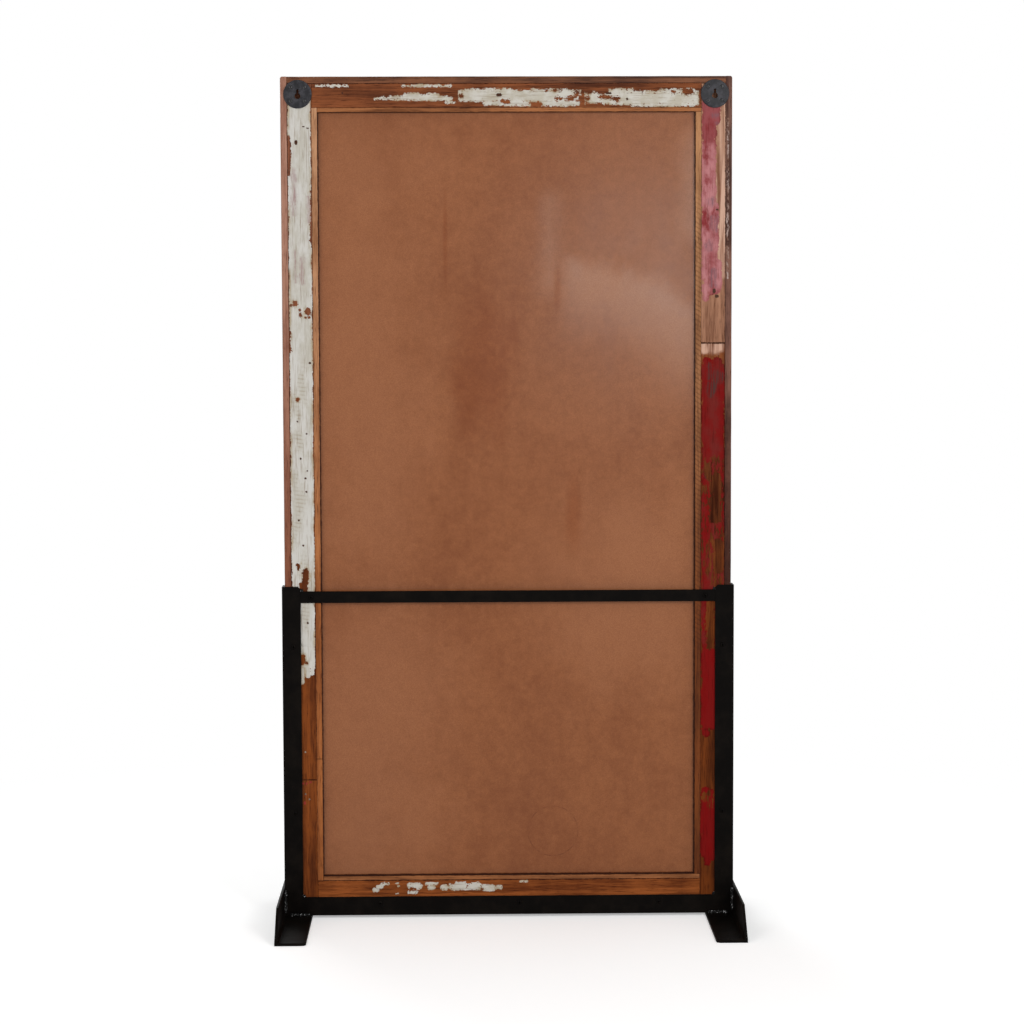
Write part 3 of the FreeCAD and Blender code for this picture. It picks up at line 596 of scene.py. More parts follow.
@dataclass(frozen=True)
class HardboardFinish:
    """Smooth brown hardboard with clouds, painted sheen, a pale streak, stains, a tin's ring and painted
    shade at the beads.
    """

    name: str = "hardboard"
    dark: Colour = (128, 74, 42)
    light: Colour = (148, 92, 56)
    lifted: Colour = (158, 104, 71)
    sheen_and_streak_tint: Colour = (186, 150, 130)
    fibre_tint: Colour = (232, 224, 217)
    stain_tint: Colour = (244, 230, 214)
    ring_tint: Colour = (205, 190, 182)
    shine: float = 0.2
    pale: Patches = patches((310, 1240, 120, 480), (300, 380, 130, 320), (-250, 700, 150, 200))
    stains: Patches = patches(
        (-140, 880, 18, 80), (45, 1190, 70, 150), (-107, 1347, 7, 40), (131, 1465, 5, 100),
    )
    # The painted sheen: a pale crescent on this circle's upper rim and a pale patch by the left bead; the
    # other patch is a pale streak.
    sheen_circle: Patch = Patch(-175, 1120, 277, 277)
    sheen_across: Span = (-92.0, -150.0)
    sheen_up: Span = (1060.0, 1260.0)
    sheen_and_streak_patches: Patches = patches((-412, 1570, 30, 110), (-90, 1450, 3, 90))
    ring: Patch = Patch(-95, 184, 60, 60)
    sight: Patch = Patch(0, 920, 399.5, 829)

    def build(self) -> Material:
        """Make the material.

        Returns:
            The finished material.
        """
        graph = MaterialGraph(self.name)
        clouds = graph.noise(graph.place, BOARD_CLOUDS)
        smears = graph.noise(graph.stretched((1.0, 1.0, 0.45), (0.0, 0.3, 0.0)), BOARD_SMEARS)
        mottle = graph.noise(graph.place, BOARD_MOTTLE)
        fibres = graph.noise(graph.place, BOARD_FIBRES)
        tone = graph.scaled(smears, 0.3, graph.times(clouds, 0.3))
        tone = graph.scaled(mottle, 0.4, tone)
        colour = graph.mix(graph.ramp(tone, 0.34, 0.66), self.dark, self.light)
        lift = graph.within(self.pale, graph.waver(5.0, 60.0), 130.0)
        colour = graph.mix(graph.times(lift, 0.55), colour, self.lifted)
        # Painted sheen in a crescent and by the left bead, with one pale streak besides.
        colour = graph.mix(graph.times(self.sheen_and_streak(graph, smears), 0.3), colour, self.sheen_and_streak_tint)
        colour = graph.shade(graph.ramp(fibres, 0.62, 0.4), colour, self.fibre_tint)
        for stain in self.stains:
            spread = graph.scaled(graph.minus(smears, 0.5), 2.4, graph.spread_from(stain))
            colour = graph.shade(graph.ramp(spread, 1.4, 0.3), colour, self.stain_tint)
        wave = graph.math("ABSOLUTE", graph.minus(graph.spread_from(self.ring), 0.9))
        line = graph.times(graph.ramp(wave, 0.03, 0.0), graph.ramp(mottle, 0.42, 0.58))
        colour = graph.shade(line, colour, self.ring_tint)
        # Painted shade along the panel's edge at the beads.
        colour = PANEL_EDGE_SHADE.lay(graph, colour, self.sight)
        gloss = graph.scaled(clouds, 0.14, graph.scaled(smears, 0.18, 0.06))
        height = graph.scaled(smears, 0.4, graph.times(fibres, 0.1))
        return graph.close(colour, gloss, height, BOARD_RISE, Specular_IOR_Level=self.shine)

    def sheen_and_streak(self, graph: MaterialGraph, smears: Socket) -> Socket:
        """Draw the painted sheen on a circle's upper rim and by the left bead, and a pale streak.

        Args:
            graph: the material's tree.
            smears: the noise that the crescent's rim follows.

        Returns:
            1 where the sheen and the streak are palest and 0 where there is none.
        """
        swing = graph.times(graph.minus(smears, 0.5), 0.5)
        spread = graph.plus(graph.spread_from(self.sheen_circle), swing)
        crescent = graph.times(graph.ramp(spread, 1.12, 0.94), graph.ramp(spread, 0.35, 0.95))
        crescent = graph.times(crescent, graph.ramp(graph.across, *self.sheen_across))
        crescent = graph.times(crescent, graph.ramp(graph.up, *self.sheen_up))
        return graph.larger(crescent, graph.within(self.sheen_and_streak_patches, graph.waver(6.0, 12.0), 44.0))


STEEL_PEEL = Noise(900.0, 2.0)
STEEL_SPECKS = Noise(260.0, 4.0, 0.7)
STEEL_RISE = 0.00015


@dataclass(frozen=True)
class SteelFinish:
    """Painted or bare steel with clouds, specks and a little orange peel."""

    name: str
    colour: Colour
    streak: Colour
    roughness: float
    metallic: float = 0.0
    shine: float = 0.12
    clouds: float = 26.0
    speck: Colour = (70, 54, 44)
    clean: float = 0.72

    def build(self) -> Material:
        """Make the material.

        Returns:
            The finished material.
        """
        graph = MaterialGraph(self.name)
        peel = graph.noise(graph.place, STEEL_PEEL)
        clouds = graph.noise(graph.place, Noise(self.clouds, 5.0, 0.65))
        specks = graph.noise(graph.place, STEEL_SPECKS)
        colour = graph.mix(graph.ramp(clouds, 0.4, 0.72), self.colour, self.streak)
        colour = graph.mix(graph.ramp(specks, self.clean, self.clean + 0.05), colour, self.speck)
        gloss = graph.scaled(clouds, 0.3, self.roughness - 0.15)
        height = graph.scaled(peel, 0.3, graph.times(specks, 0.7))
        return graph.close(colour, gloss, height, STEEL_RISE, Metallic=self.metallic,
                           Specular_IOR_Level=self.shine)


MIRROR_SMEARS = Noise(8.0, 6.0, 0.65, 1.2)
MIRROR_SPOTS = Noise(140.0, 4.0, 0.6)
MIRROR_RISE = 0.00002


@dataclass(frozen=True)
class MirrorFinish:
    """Silvered glass, dull at its edge and with faint smears of cleaning."""

    name: str = "mirror"
    silver: Colour = (212, 220, 221)
    edge_dark: Colour = (128, 126, 120)
    edge_width: Span = (13.5, 9.0)
    sheet: Patch = Patch(0, 907, 410.5, 824)

    def build(self) -> Material:
        """Make the material.

        Returns:
            The finished material.
        """
        graph = MaterialGraph(self.name)
        smears = graph.noise(graph.stretched((1.0, 1.0, 0.4), (0.0, 0.5, 0.0)), MIRROR_SMEARS)
        spots = graph.noise(graph.place, MIRROR_SPOTS)
        ragged = graph.times(graph.minus(spots, 0.5), 7.0)
        depth = graph.plus(ragged, graph.square_depth(self.sheet))
        colour = graph.mix(graph.ramp(depth, *self.edge_width), self.silver, self.edge_dark)
        gloss = graph.ramp(smears, 0.5, 0.75, 0.012, 0.05)
        return graph.close(colour, gloss, smears, MIRROR_RISE, Metallic=1.0)


SEWING_DISTANCE = 1e-6
FLAT_TURN = math.radians(0.2)
SHARP_TURN = math.radians(35)


def copy_of(node: str) -> Mesh:
    """Copy a solid's mesh with its triangles sewn together and its flat faces made whole.

    Args:
        node: the solid's name.

    Returns:
        The copy.
    """
    mesh = bmesh.new()
    mesh.from_mesh(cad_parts[node].data)
    bmesh.ops.remove_doubles(mesh, verts=mesh.verts, dist=SEWING_DISTANCE)
    bmesh.ops.dissolve_limit(mesh, angle_limit=FLAT_TURN, verts=mesh.verts, edges=mesh.edges)
    return mesh


def bevel(mesh: Mesh, edges: list[bmesh.types.BMEdge], width: float, segments: int) -> None:
    """Round some edges over a width with so many facets."""
    bmesh.ops.bevel(mesh, geom=edges, offset=width, offset_type="OFFSET", segments=segments, profile=0.5,
                    affect="EDGES", clamp_overlap=True)


def ease_edges(mesh: Mesh, width: float, shortest: float) -> None:
    """Round the outward edges that are longer than the shortest over a width, with two facets."""
    edges = [
        edge for edge in mesh.edges
        if edge.is_manifold and edge.calc_length() > shortest and edge.calc_face_angle_signed() > SHARP_TURN
    ]
    bevel(mesh, edges, width, 2)


def cut_stations(mesh: Mesh, axis: Vector, step: float) -> None:
    """Cut a mesh across an axis at even steps, so that it can bend.

    Args:
        mesh: the mesh to change.
        axis: the direction of the steps.
        step: the distance between two cuts.
    """
    reaches = [vertex.co.dot(axis) for vertex in mesh.verts]
    low, high = min(reaches), max(reaches)
    for i in range(1, int((high - low) / step)):
        geometry = [*mesh.verts, *mesh.edges, *mesh.faces]
        place = axis * (low + i * step)
        bmesh.ops.bisect_plane(mesh, geom=geometry, dist=1e-7, plane_co=place, plane_no=axis)


def roughen(mesh: Mesh, reach: float, pitch: float) -> None:
    """Move every point by up to a reach along smooth noise, with so many features on a metre."""
    for vertex in mesh.verts:
        vertex.co += noise.noise_vector(vertex.co * pitch) * reach


def add_piece(name: str, data: bpy.types.Mesh, material: Material,
              stands_for: Sequence[str] = (), smooth_degrees: float = 20.0) -> None:
    """Put a finished mesh into the scene as a piece of the object.

    Args:
        name: the piece's name.
        data: the mesh.
        material: its finish.
        stands_for: the solids that it takes the place of.
        smooth_degrees: the turn between two faces up to which their edge is shaded round.
    """
    data.materials.clear()
    data.materials.append(material)
    data.shade_smooth()
    data.set_sharp_from_angle(angle=math.radians(smooth_degrees))
    piece = bpy.data.objects.new(name, data)
    bpy.context.scene.collection.objects.link(piece)
    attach(piece, "root")
    if stands_for:
        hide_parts(*stands_for)
    log.info("%s: %d faces", name, len(data.polygons))


def add_dressed(node: str, mesh: Mesh, material: Material) -> None:
    """Put a worked copy of a solid in its place.

    Args:
        node: the solid's name.
        mesh: the worked copy, which is used up.
        material: its finish.
    """
    data = bpy.data.meshes.new(f"{node}_dressed")
    mesh.normal_update()
    mesh.to_mesh(data)
    mesh.free()
    add_piece(f"{node}_dressed", data, material, [node])


def dress_solid(node: str, material: Material) -> None:
    """Give a solid that stays as it is a finish.

    Args:
        node: the solid's name.
        material: its finish.
    """
    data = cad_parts[node].data
    data.materials.clear()
    data.materials.append(material)
    log.info("%s: kept solid", node)


class GeometryGraph(Graph):
    """A geometry tree with named sizes, run once on a mesh of points or lines."""

    dome_stations: int = 7
    dome_sides: int = 24
    dome_cut: float = 0.94
    turn_seed: int = 7

    def __init__(self, name: str, sizes: dict[str, float]) -> None:
        """Start a tree whose inputs are a mesh, some sizes and a material.

        Args:
            name: the tree's name.
            sizes: the names and values of the sizes.
        """
        super().__init__(bpy.data.node_groups.new(name, "GeometryNodeTree"))
        self.sizes = sizes
        face = self.tree.interface
        face.new_socket("Geometry", in_out="INPUT", socket_type="NodeSocketGeometry")
        for label in sizes:
            face.new_socket(label, in_out="INPUT", socket_type="NodeSocketFloat")
        face.new_socket("Material", in_out="INPUT", socket_type="NodeSocketMaterial")
        face.new_socket("Geometry", in_out="OUTPUT", socket_type="NodeSocketGeometry")
        self.entry = self.add("NodeGroupInput")

    def given(self, label: str) -> Socket:
        """Return a named input."""
        return self.entry.outputs[label]

    def dome(self, diameter: Socket, height: Socket, flatness: float) -> Socket:
        """Turn a low dome on the Y axis.

        Args:
            diameter: its width at the foot.
            height: its rise.
            flatness: how square its shoulder is.

        Returns:
            The closed mesh.
        """
        tip = self.out("ShaderNodeCombineXYZ", {"Y": height})
        line = self.out("GeometryNodeCurvePrimitiveLine", {"Start": (0, 0, 0), "End": tip})
        line = self.out("GeometryNodeResampleCurve", {"Curve": line, "Count": self.dome_stations})
        share = self.add("GeometryNodeSplineParameter").outputs["Factor"]
        fall = self.math("POWER", self.times(share, self.dome_cut), flatness)
        round_off = self.math("SQRT", self.minus(1.0, fall))
        radius = self.times(self.times(diameter, 0.5), round_off)
        return self.swept(line, radius, self.dome_sides)

    def swept(self, line: Socket, radius: Socket, sides: int) -> Socket:
        """Return the closed mesh of a ring that is swept along a line, with a radius that may vary."""
        ring = self.out("GeometryNodeCurvePrimitiveCircle", {"Resolution": sides, "Radius": 1.0})
        return self.out("GeometryNodeCurveToMesh", {
            "Curve": line, "Profile Curve": ring, "Scale": radius, "Fill Caps": True,
        })

    def set_on_points(self, shape: Socket) -> Socket:
        """Set a shape on every point of the mesh, each turned about the Y axis by chance.

        Args:
            shape: the mesh to set.

        Returns:
            The instances.
        """
        inputs = {0: (0, 0, 0), 1: (0, math.tau, 0), "Seed": self.turn_seed}
        turn = self.out("FunctionNodeRandomValue", inputs, data_type="FLOAT_VECTOR")
        inputs = {"Points": self.given("Geometry"), "Instance": shape, "Rotation": turn}
        return self.out("GeometryNodeInstanceOnPoints", inputs)

    def close(self, geometry: Socket) -> None:
        """Make instances real, dress them and end the tree.

        Args:
            geometry: the tree's result.
        """
        real = self.out("GeometryNodeRealizeInstances", {"Geometry": geometry})
        inputs = {"Geometry": real, "Material": self.given("Material")}
        self.add("NodeGroupOutput", {"Geometry": self.out("GeometryNodeSetMaterial", inputs)})

    def run(self, points: Sequence[Point], material: Material,
            lines: Sequence[tuple[int, int]] = ()) -> bpy.types.Mesh:
        """Run the tree on points and lines.

        Args:
            points: the places.
            material: the finish.
            lines: pairs of points that are joined.

        Returns:
            The plain mesh.
        """
        seed = bpy.data.meshes.new(f"{self.tree.name}_seed")
        seed.from_pydata(points, lines, [])
        holder = bpy.data.objects.new(f"{self.tree.name}_holder", seed)
        bpy.context.scene.collection.objects.link(holder)
        modifier = holder.modifiers.new("shape", "NODES")
        modifier.node_group = self.tree
        values = {**self.sizes, "Material": material}
        for item in self.tree.interface.items_tree:
            if item.in_out == "INPUT" and item.name in values:
                modifier[item.identifier] = values[item.name]
        graph = bpy.context.evaluated_depsgraph_get()
        data = bpy.data.meshes.new_from_object(holder.evaluated_get(graph), depsgraph=graph)
        bpy.data.objects.remove(holder)
        bpy.data.meshes.remove(seed)
        return data


SCREW_FLATNESS = 2.6
# The length and width of a recess's bars, as shares of the head's diameter.
RECESS: Span = (0.52, 0.13)


def cross_heads(name: str, diameter: float, height: float) -> GeometryGraph:
    """Build the tree that sets a cross-recessed screw head on every point.

    Args:
        name: the tree's name.
        diameter: the head's width.
        height: the head's rise.

    Returns:
        The finished tree.
    """
    tree = GeometryGraph(name, {"Head diameter": diameter, "Head height": height})
    width, rise = tree.given("Head diameter"), tree.given("Head height")
    head = tree.dome(width, rise, SCREW_FLATNESS)
    long_side, short_side = (tree.times(width, share) for share in RECESS)
    bars = tree.add("GeometryNodeJoinGeometry")
    for x, z in ((long_side, short_side), (short_side, long_side)):
        size = tree.out("ShaderNodeCombineXYZ", {"X": x, "Y": rise, "Z": z})
        tree.tree.links.new(tree.out("GeometryNodeMeshCube", {"Size": size}), bars.inputs[0])
    lift = tree.out("ShaderNodeCombineXYZ", {"Y": rise})
    cross = tree.out("GeometryNodeTransform", {"Geometry": bars.outputs[0], "Translation": lift})
    cut = tree.out("GeometryNodeMeshBoolean", {"Mesh 1": head, "Mesh 2": cross}, operation="DIFFERENCE")
    tree.close(tree.set_on_points(cut))
    return tree


# The oiled strips round the planks, of which the left one has painted highlights in dashes on its varnish.
LEFT_RIM = PlankFinish(
    "left_rim",
    Wood((84, 52, 42), (146, 104, 88), Grain.UP, 0.4, 0.1, (156, 118, 94),
         # The lower darker patch is painted shade along the rim's inner side; the upper one darkens the
         # rim's top.
         grime_and_shade=patches((-470, 1660, 24, 230), (-460, 880, 14, 250))),
    # Painted highlights: pale dashes along the rim, laid as a coat.
    Coat((172, 152, 144), (128, 98, 88), left=patches((-468.5, 1540, 2.6, 170)), ragged=1.0, chips=0.4,
         flake=300.0, soft=0.06),
)
RIGHT_RIM_WOOD = Wood((134, 88, 70), (172, 128, 108), Grain.UP, 0.45, 0.15, (196, 158, 130))
LEVEL_RIM_WOOD = Wood((62, 33, 20), (122, 76, 50), Grain.ACROSS, 0.45, 0.12)
RIMS = (
    LEFT_RIM, PlankFinish("right_rim", RIGHT_RIM_WOOD), PlankFinish("top_rim", LEVEL_RIM_WOOD),
    PlankFinish("bottom_rim", LEVEL_RIM_WOOD),
)

# The beads, of which the left one has kept the saw's marks and the right one is made of two lengths.
LEFT_BEAD_WOOD = Wood((118, 78, 50), (176, 126, 86), Grain.UP, 0.7, below=(172, 130, 88))
RIGHT_BEAD_WOOD = Wood((140, 94, 62), (190, 142, 106), Grain.UP, 0.7, below=(222, 182, 136))
LEVEL_BEAD_WOOD = Wood((104, 60, 32), (158, 100, 60), Grain.ACROSS, 0.7)
BEADS = (
    SawnFinish("left_bead", LEFT_BEAD_WOOD, Patch(-406, 907, 6.4, 817), sawn=patches((-406, 1060, 60, 470))),
    SawnFinish("right_bead", RIGHT_BEAD_WOOD, Patch(406, 907, 6.4, 826), joints=patches((406, 346, 9, 0.7))),
    SawnFinish("top_bead", LEVEL_BEAD_WOOD, Patch(-6, 1728, 406, 4.8)),
    SawnFinish("bottom_bead", LEVEL_BEAD_WOOD, Patch(-6, 86, 406, 4.8)),
)

# The long white plank, chipped through in a few places.
RIGHT_STILE_WOOD = Wood((78, 42, 30), (134, 82, 58), Grain.UP, shine=0.08, below=(252, 216, 132))
WHITE_STILE = PlankFinish(
    "white_stile", RIGHT_STILE_WOOD,
    Coat(
        (199, 196, 190), (184, 179, 168),
        left=patches((441, 526, 5, 19), (430, 540, 6, 19), (420, 540, 5, 14)),
        fields=patches((437.8, 1157, 24.2, 615)),
        gone=patches(
            (464, 1632, 7, 44), (411, 1498, 5, 62), (464, 1240, 5, 24), (449, 1321, 5.5, 6),
            (458, 1318, 6, 1.6), (437.6, 1298, 3.2, 5), (440, 1307, 2.4, 3), (423, 1305, 6.5, 7),
            (427, 1291, 2.2, 1.6), (420, 1291, 2.4, 1.6), (448, 760, 4, 9), (433, 739, 8, 19),
            (437, 716, 8, 14), (442, 561, 7, 12), (433, 553, 5, 2.6), (446, 1118, 2.6, 2.4),
        ),
        scuffs=patches((448, 1398, 2.4, 34), (434, 1390, 5, 30), (450, 1556, 5, 50), (419, 1520, 4, 30)),
        planed=patches((440, 900, 14, 300)), ragged=1.2, chips=0.22, pits=0.14,
    ),
    Patch(432, 1042, 31.5, 741),
    patches(
        (444.5, 1660, 3.2, 5), (420, 1690, 3, 1.2), (428.7, 1693, 2.4, 1.2), (419.4, 1195.5, 2.3, 2.3),
        (447, 1071, 1.8, 1.8), (428, 1045, 2, 1.6), (441, 992, 2.2, 2.2), (427, 966, 1.6, 1.6),
        (431, 950, 2, 2), (429.5, 921, 2.2, 2), (445.9, 860, 2.2, 2.2), (437, 806, 2.2, 2.2),
        (428.7, 640, 2.3, 2.6),
    ),
)

# The short bare plank with specks of red below its splice.
BROWN_STILE = PlankFinish(
    "brown_stile", RIGHT_STILE_WOOD,
    Coat(
        (146, 44, 40), (128, 58, 46),
        left=patches((439, 293, 6, 2.6), (437.3, 268.6, 2.2, 2.2), (439, 250, 1.6, 3.4), (426, 296, 4, 2)),
        ragged=1.0, chips=0.36,
    ),
    Patch(432, 155, 31.5, 145.5),
)

# The plank whose red has faded to pink, bare along its outer edge and at its foot.
PINK_STILE = PlankFinish(
    "pink_stile",
    Wood((118, 76, 54), (176, 130, 102), Grain.UP, below=(182, 150, 132),
         bleached=patches((-457, 1560, 10, 190))),
    Coat(
        (124, 39, 41), (178, 117, 119),
        left=patches(
            (-434, 1730, 18, 40), (-432, 1480, 18, 60), (-437, 1378, 19, 40), (-421, 1342, 8, 20),
            (-445, 1352, 7, 14),
        ),
        fields=patches((-428.5, 1572, 15.5, 203)),
        fresh=patches((-432, 1718, 40, 78), (-440, 1466, 9, 12), (-434, 1390, 4, 56)),
        scuffs=patches(
            (-441, 1490, 12, 18), (-433, 1534, 9, 10), (-441, 1716, 8, 5), (-447, 1696, 6, 6),
            (-430, 1440, 8, 12), (-438, 1372, 7, 20),
        ),
        scuff=(116, 82, 88), grime=(226, 206, 196), ragged=2.2, stretch=0.5,
    ),
    Patch(-432, 1509, 31.5, 273.5),
    patches((-440, 1345, 3, 5), (-445.5, 1334, 4, 3.4), (-445.6, 1517, 2.4, 1.8)),
)

# The red plank, worn through half way up and bare in a band lower down.
RED_STILE = PlankFinish(
    "red_stile",
    Wood((74, 38, 24), (132, 76, 44), Grain.UP, shine=0.045, below=(224, 198, 146),
         grime_and_shade=patches((-440, 915, 40, 85)), bleached=patches((-434, 1226, 34, 10))),
    Coat(
        (117, 5, 6), (106, 33, 29),
        left=patches(
            (-424, 1192, 10, 13), (-446, 1190, 12, 14), (-424, 398, 9, 10), (-424, 270, 9, 10),
            (-438, 264, 8, 12), (-428, 122, 8, 14), (-440, 128, 6, 10),
        ),
        fields=patches((-438, 798, 25, 394), (-437, 196, 25, 70)),
        gone=patches(
            (-427.6, 962, 5, 16), (-447, 915, 8, 40), (-442, 880, 9, 30), (-452, 780, 8, 34),
            (-435, 630, 10, 52),
        ),
        worn=patches((-440, 850, 22, 150), (-430, 258, 16, 20)),
        fresh=patches((-432, 470, 50, 130), (-432, 185, 50, 110), (-422, 900, 9, 320), (-458, 990, 9, 180)),
        scuffs=patches(
            (-433, 1136, 9, 17), (-447, 1162, 14, 16), (-431, 1174, 5, 20), (-440, 1148, 7, 24),
            (-427, 960, 7, 16),
        ),
        scuff=(66, 50, 46), grime=(206, 176, 160), chips=0.31, stretch=0.24, soft=0.05,
    ),
    Patch(-432, 622, 31.5, 612),
)

# The upper cross plank with long scalloped leavings of white.
TOP_PLANK = PlankFinish(
    "top_plank",
    Wood((74, 37, 20), (132, 74, 42), Grain.ACROSS, shine=0.08),
    Coat(
        (196, 192, 183), (180, 173, 158),
        left=patches(
            (263, 1752, 18, 3.6), (232, 1752.5, 18, 6), (200, 1755.5, 22, 9), (164, 1754, 24, 8.5),
            (132, 1752, 20, 6), (119, 1744, 14, 3.4), (170, 1778, 54, 2.8), (369, 1778.5, 35, 2.6),
            (-5, 1742, 55, 7), (-110, 1742, 46, 7.5), (40, 1768, 50, 5), (-90, 1768, 40, 4),
            (-240, 1766, 30, 6), (-360, 1766, 38, 6), (-300, 1764, 40, 4), (-330, 1738, 70, 5),
        ),
        fields=patches((-27.5, 1757, 130.5, 13), (-285, 1751, 121, 14)),
        gone=patches(
            (-149, 1762, 4, 8), (-155, 1751, 2.6, 6), (-160, 1742, 1.8, 6), (-120, 1751, 20, 3.4),
            (-100, 1768, 18, 2.2), (3, 1745, 9, 3.2), (-62, 1739, 12, 5), (94, 1757, 3, 2.6),
            (-170, 1751, 4, 2), (-209, 1754, 14, 2.4), (-229, 1750, 8, 3.2), (-353, 1765, 3, 3),
            (-384, 1766, 13, 6.5), (-190, 1771, 26, 8), (-192, 1736, 24, 3.5), (84, 1738, 22, 4),
        ),
        ragged=1.7, chips=0.31, pits=0.16, flake=300.0, stretch=0.8,
    ),
    Patch(0, 1752, 412.5, 31.5),
    patches((15.7, 1759, 6, 3.4), (-255, 1750, 2, 2.4), (-216, 1762, 6, 2), (346, 1763.6, 2, 2)),
)

# The lower cross plank with a row of small leavings of white.
BOTTOM_PLANK = PlankFinish(
    "bottom_plank",
    Wood((84, 38, 14), (150, 82, 38), Grain.ACROSS, shine=0.06),
    Coat(
        (196, 192, 183), (182, 176, 162),
        left=patches(
            (288, 60, 8, 5), (280, 67, 8, 4), (268, 73, 10, 3.2), (242, 74, 4, 1.8), (238.5, 68, 2.6, 2.4),
            (242, 51.5, 4, 2), (204, 68, 17, 8), (209, 55, 12, 5), (167, 73, 15, 4), (168, 64, 9, 6),
            (140, 64, 9, 6.5), (104, 67, 27, 10), (74, 66, 15, 9), (44, 63, 16, 8), (26, 64, 12, 5),
            (-31, 77, 11, 2.2),
        ),
        gone=patches(
            (104, 57, 5, 2.6), (88, 75, 6, 2.4), (121, 75, 5, 2.6), (58, 60, 4, 2.4), (207, 61, 6, 1.4),
            (92, 66, 1.4, 1.4),
        ),
        ragged=1.4, chips=0.3, pits=0.14, flake=300.0, stretch=0.8,
    ),
    Patch(0, 45.5, 412.5, 35.5),
)

PLANKS: dict[str, tuple[PlankFinish, Slot]] = {
    "right_stile_upper": (WHITE_STILE, Slot.WHITE_PAINT),
    "right_stile_lower": (BROWN_STILE, Slot.BARE_WOOD),
    "left_stile_upper": (PINK_STILE, Slot.FADED_RED_PAINT),
    "left_stile_lower": (RED_STILE, Slot.RED_PAINT),
    "top_rail": (TOP_PLANK, Slot.BARE_WOOD),
    "bottom_rail": (BOTTOM_PLANK, Slot.BARE_WOOD),
}
PEGS = PlankFinish("pegs", Wood((150, 100, 60), (196, 146, 98), Grain.UP))


@dataclass
class PlankFrame:
    """The planks, the rim strips and the beads of the frame."""

    edge_ease: float = 0.0007
    shortest: float = 0.03
    station: float = 0.018
    unevenness: float = 0.00022
    unevenness_pitch: float = 23.0

    def build(self) -> None:
        """Make and dress every strip of wood."""
        for node, (finish, slot) in PLANKS.items():
            self.add_strip(node, finish)
        for strips, slot in ((RIMS, Slot.RIM_WOOD), (BEADS, Slot.BEAD_WOOD)):
            for finish in strips:
                self.add_strip(finish.name, finish)
        dress_solid("splice_dowels", PEGS.build())

    def add_strip(self, node: str, finish: PlankFinish | SawnFinish) -> None:
        """Put an eased, slightly uneven copy of a strip in its place.

        Args:
            node: the solid's name.
            finish: its finish, which says how the grain runs.
        """
        mesh = copy_of(node)
        ease_edges(mesh, self.edge_ease, self.shortest)
        cut_stations(mesh, finish.wood.grain.axis, self.station)
        roughen(mesh, self.unevenness, self.unevenness_pitch)
        add_dressed(node, mesh, finish.build())


@dataclass
class Backing:
    """The hardboard back, bowed a little between its beads, and the glass before it."""

    bow: float = 0.0011
    bow_share: float = 0.6
    bow_swing: float = 0.4
    bow_pitch: float = 3.1
    cell: float = 0.03
    glass_ease: float = 0.0006
    glass_shortest: float = 0.05
    pins: SteelFinish = SteelFinish("bright_steel", (150, 148, 144), (120, 118, 114), 0.35, metallic=1.0)

    def build(self) -> None:
        """Make and dress the two sheets and the pins that hold them."""
        self.add_panel()
        mesh = copy_of("mirror_glass")
        ease_edges(mesh, self.glass_ease, self.glass_shortest)
        add_dressed("mirror_glass", mesh, MirrorFinish().build())
        dress_solid("bead_pins", self.pins.build())

    def add_panel(self) -> None:
        """Put a bowed copy of the panel in its place."""
        low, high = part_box("back_panel")
        mesh = copy_of("back_panel")
        cut_stations(mesh, ALONG_X, self.cell)
        cut_stations(mesh, ALONG_Z, self.cell)
        for vertex in mesh.verts:
            across = (vertex.co.x - low.x) / (high.x - low.x)
            up = (vertex.co.z - low.z) / (high.z - low.z)
            belly = max(0.0, math.sin(math.pi * across)) * max(0.0, math.sin(math.pi * up))
            place = Vector((vertex.co.x, 0.0, vertex.co.z)) * self.bow_pitch
            vertex.co.y += self.bow * belly * (self.bow_share + self.bow_swing * noise.noise(place))
        add_dressed("back_panel", mesh, HardboardFinish().build())


@dataclass
class HangerPlates:
    """The round keyhole plates, their screws and the edges that the press has rounded."""

    plate: SteelFinish = SteelFinish("grey_steel", (26, 26, 30), (58, 57, 62), 0.4, shine=0.2, clouds=95.0)
    screw: SteelFinish = SteelFinish("screw_steel", (14, 14, 16), (66, 64, 66), 0.36, shine=0.4,
                                     clouds=300.0)
    rim_ease: float = 0.0012
    rim_facets: int = 3
    rim_slack: float = 2e-5
    screw_reach: float = 0.014555
    screw_diameter: float = 0.008
    screw_height: float = 0.0014
    screw_sink: float = 0.0003

    def build(self) -> None:
        """Make and dress both plates and their screws."""
        finish = self.plate.build()
        heads = []
        for node in ("left_hanger_plate", "right_hanger_plate"):
            low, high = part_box(node)
            middle = (low + high) / 2
            mesh = copy_of(node)
            bevel(mesh, self.rim(mesh, middle, (high.x - low.x) / 2), self.rim_ease, self.rim_facets)
            add_dressed(node, mesh, finish)
            heads += [
                (middle.x + x * self.screw_reach, high.y - self.screw_sink, middle.z + z * self.screw_reach)
                for x in (-1, 1) for z in (-1, 1)
            ]
        worn = self.screw.build()
        tree = cross_heads("sunk_heads", self.screw_diameter, self.screw_height)
        add_piece("hanger_screws_heads", tree.run(heads, worn), worn, ["hanger_screws"])

    def rim(self, mesh: Mesh, middle: Vector, radius: float) -> list[bmesh.types.BMEdge]:
        """Return the edges round the rear face of a plate, by its middle and radius."""
        outer = {
            vertex for vertex in mesh.verts if vertex.co.y > middle.y
            and abs(math.hypot(vertex.co.x - middle.x, vertex.co.z - middle.z) - radius) < self.rim_slack
        }
        return [edge for edge in mesh.edges if outer.issuperset(edge.verts)]


# The screws through the steel: where their heads lie across and up, in metres.
STAND_SCREWS: dict[str, tuple[Sequence[float], Sequence[float]]] = {
    "upright_screws": ((-0.4595, 0.4595), (0.229, 0.589)),
    "cross_bar_screws": ((-0.4215, 0.4215), (0.6955,)),
    "shelf_screws": ((-0.322, -0.022, 0.278), (0.032,)),
}
SECTIONS = ("left_upright", "right_upright", "left_foot", "right_foot", "shelf_rail", "cross_bar")
SEAM_LUMPS = Noise(130.0, 2.0)


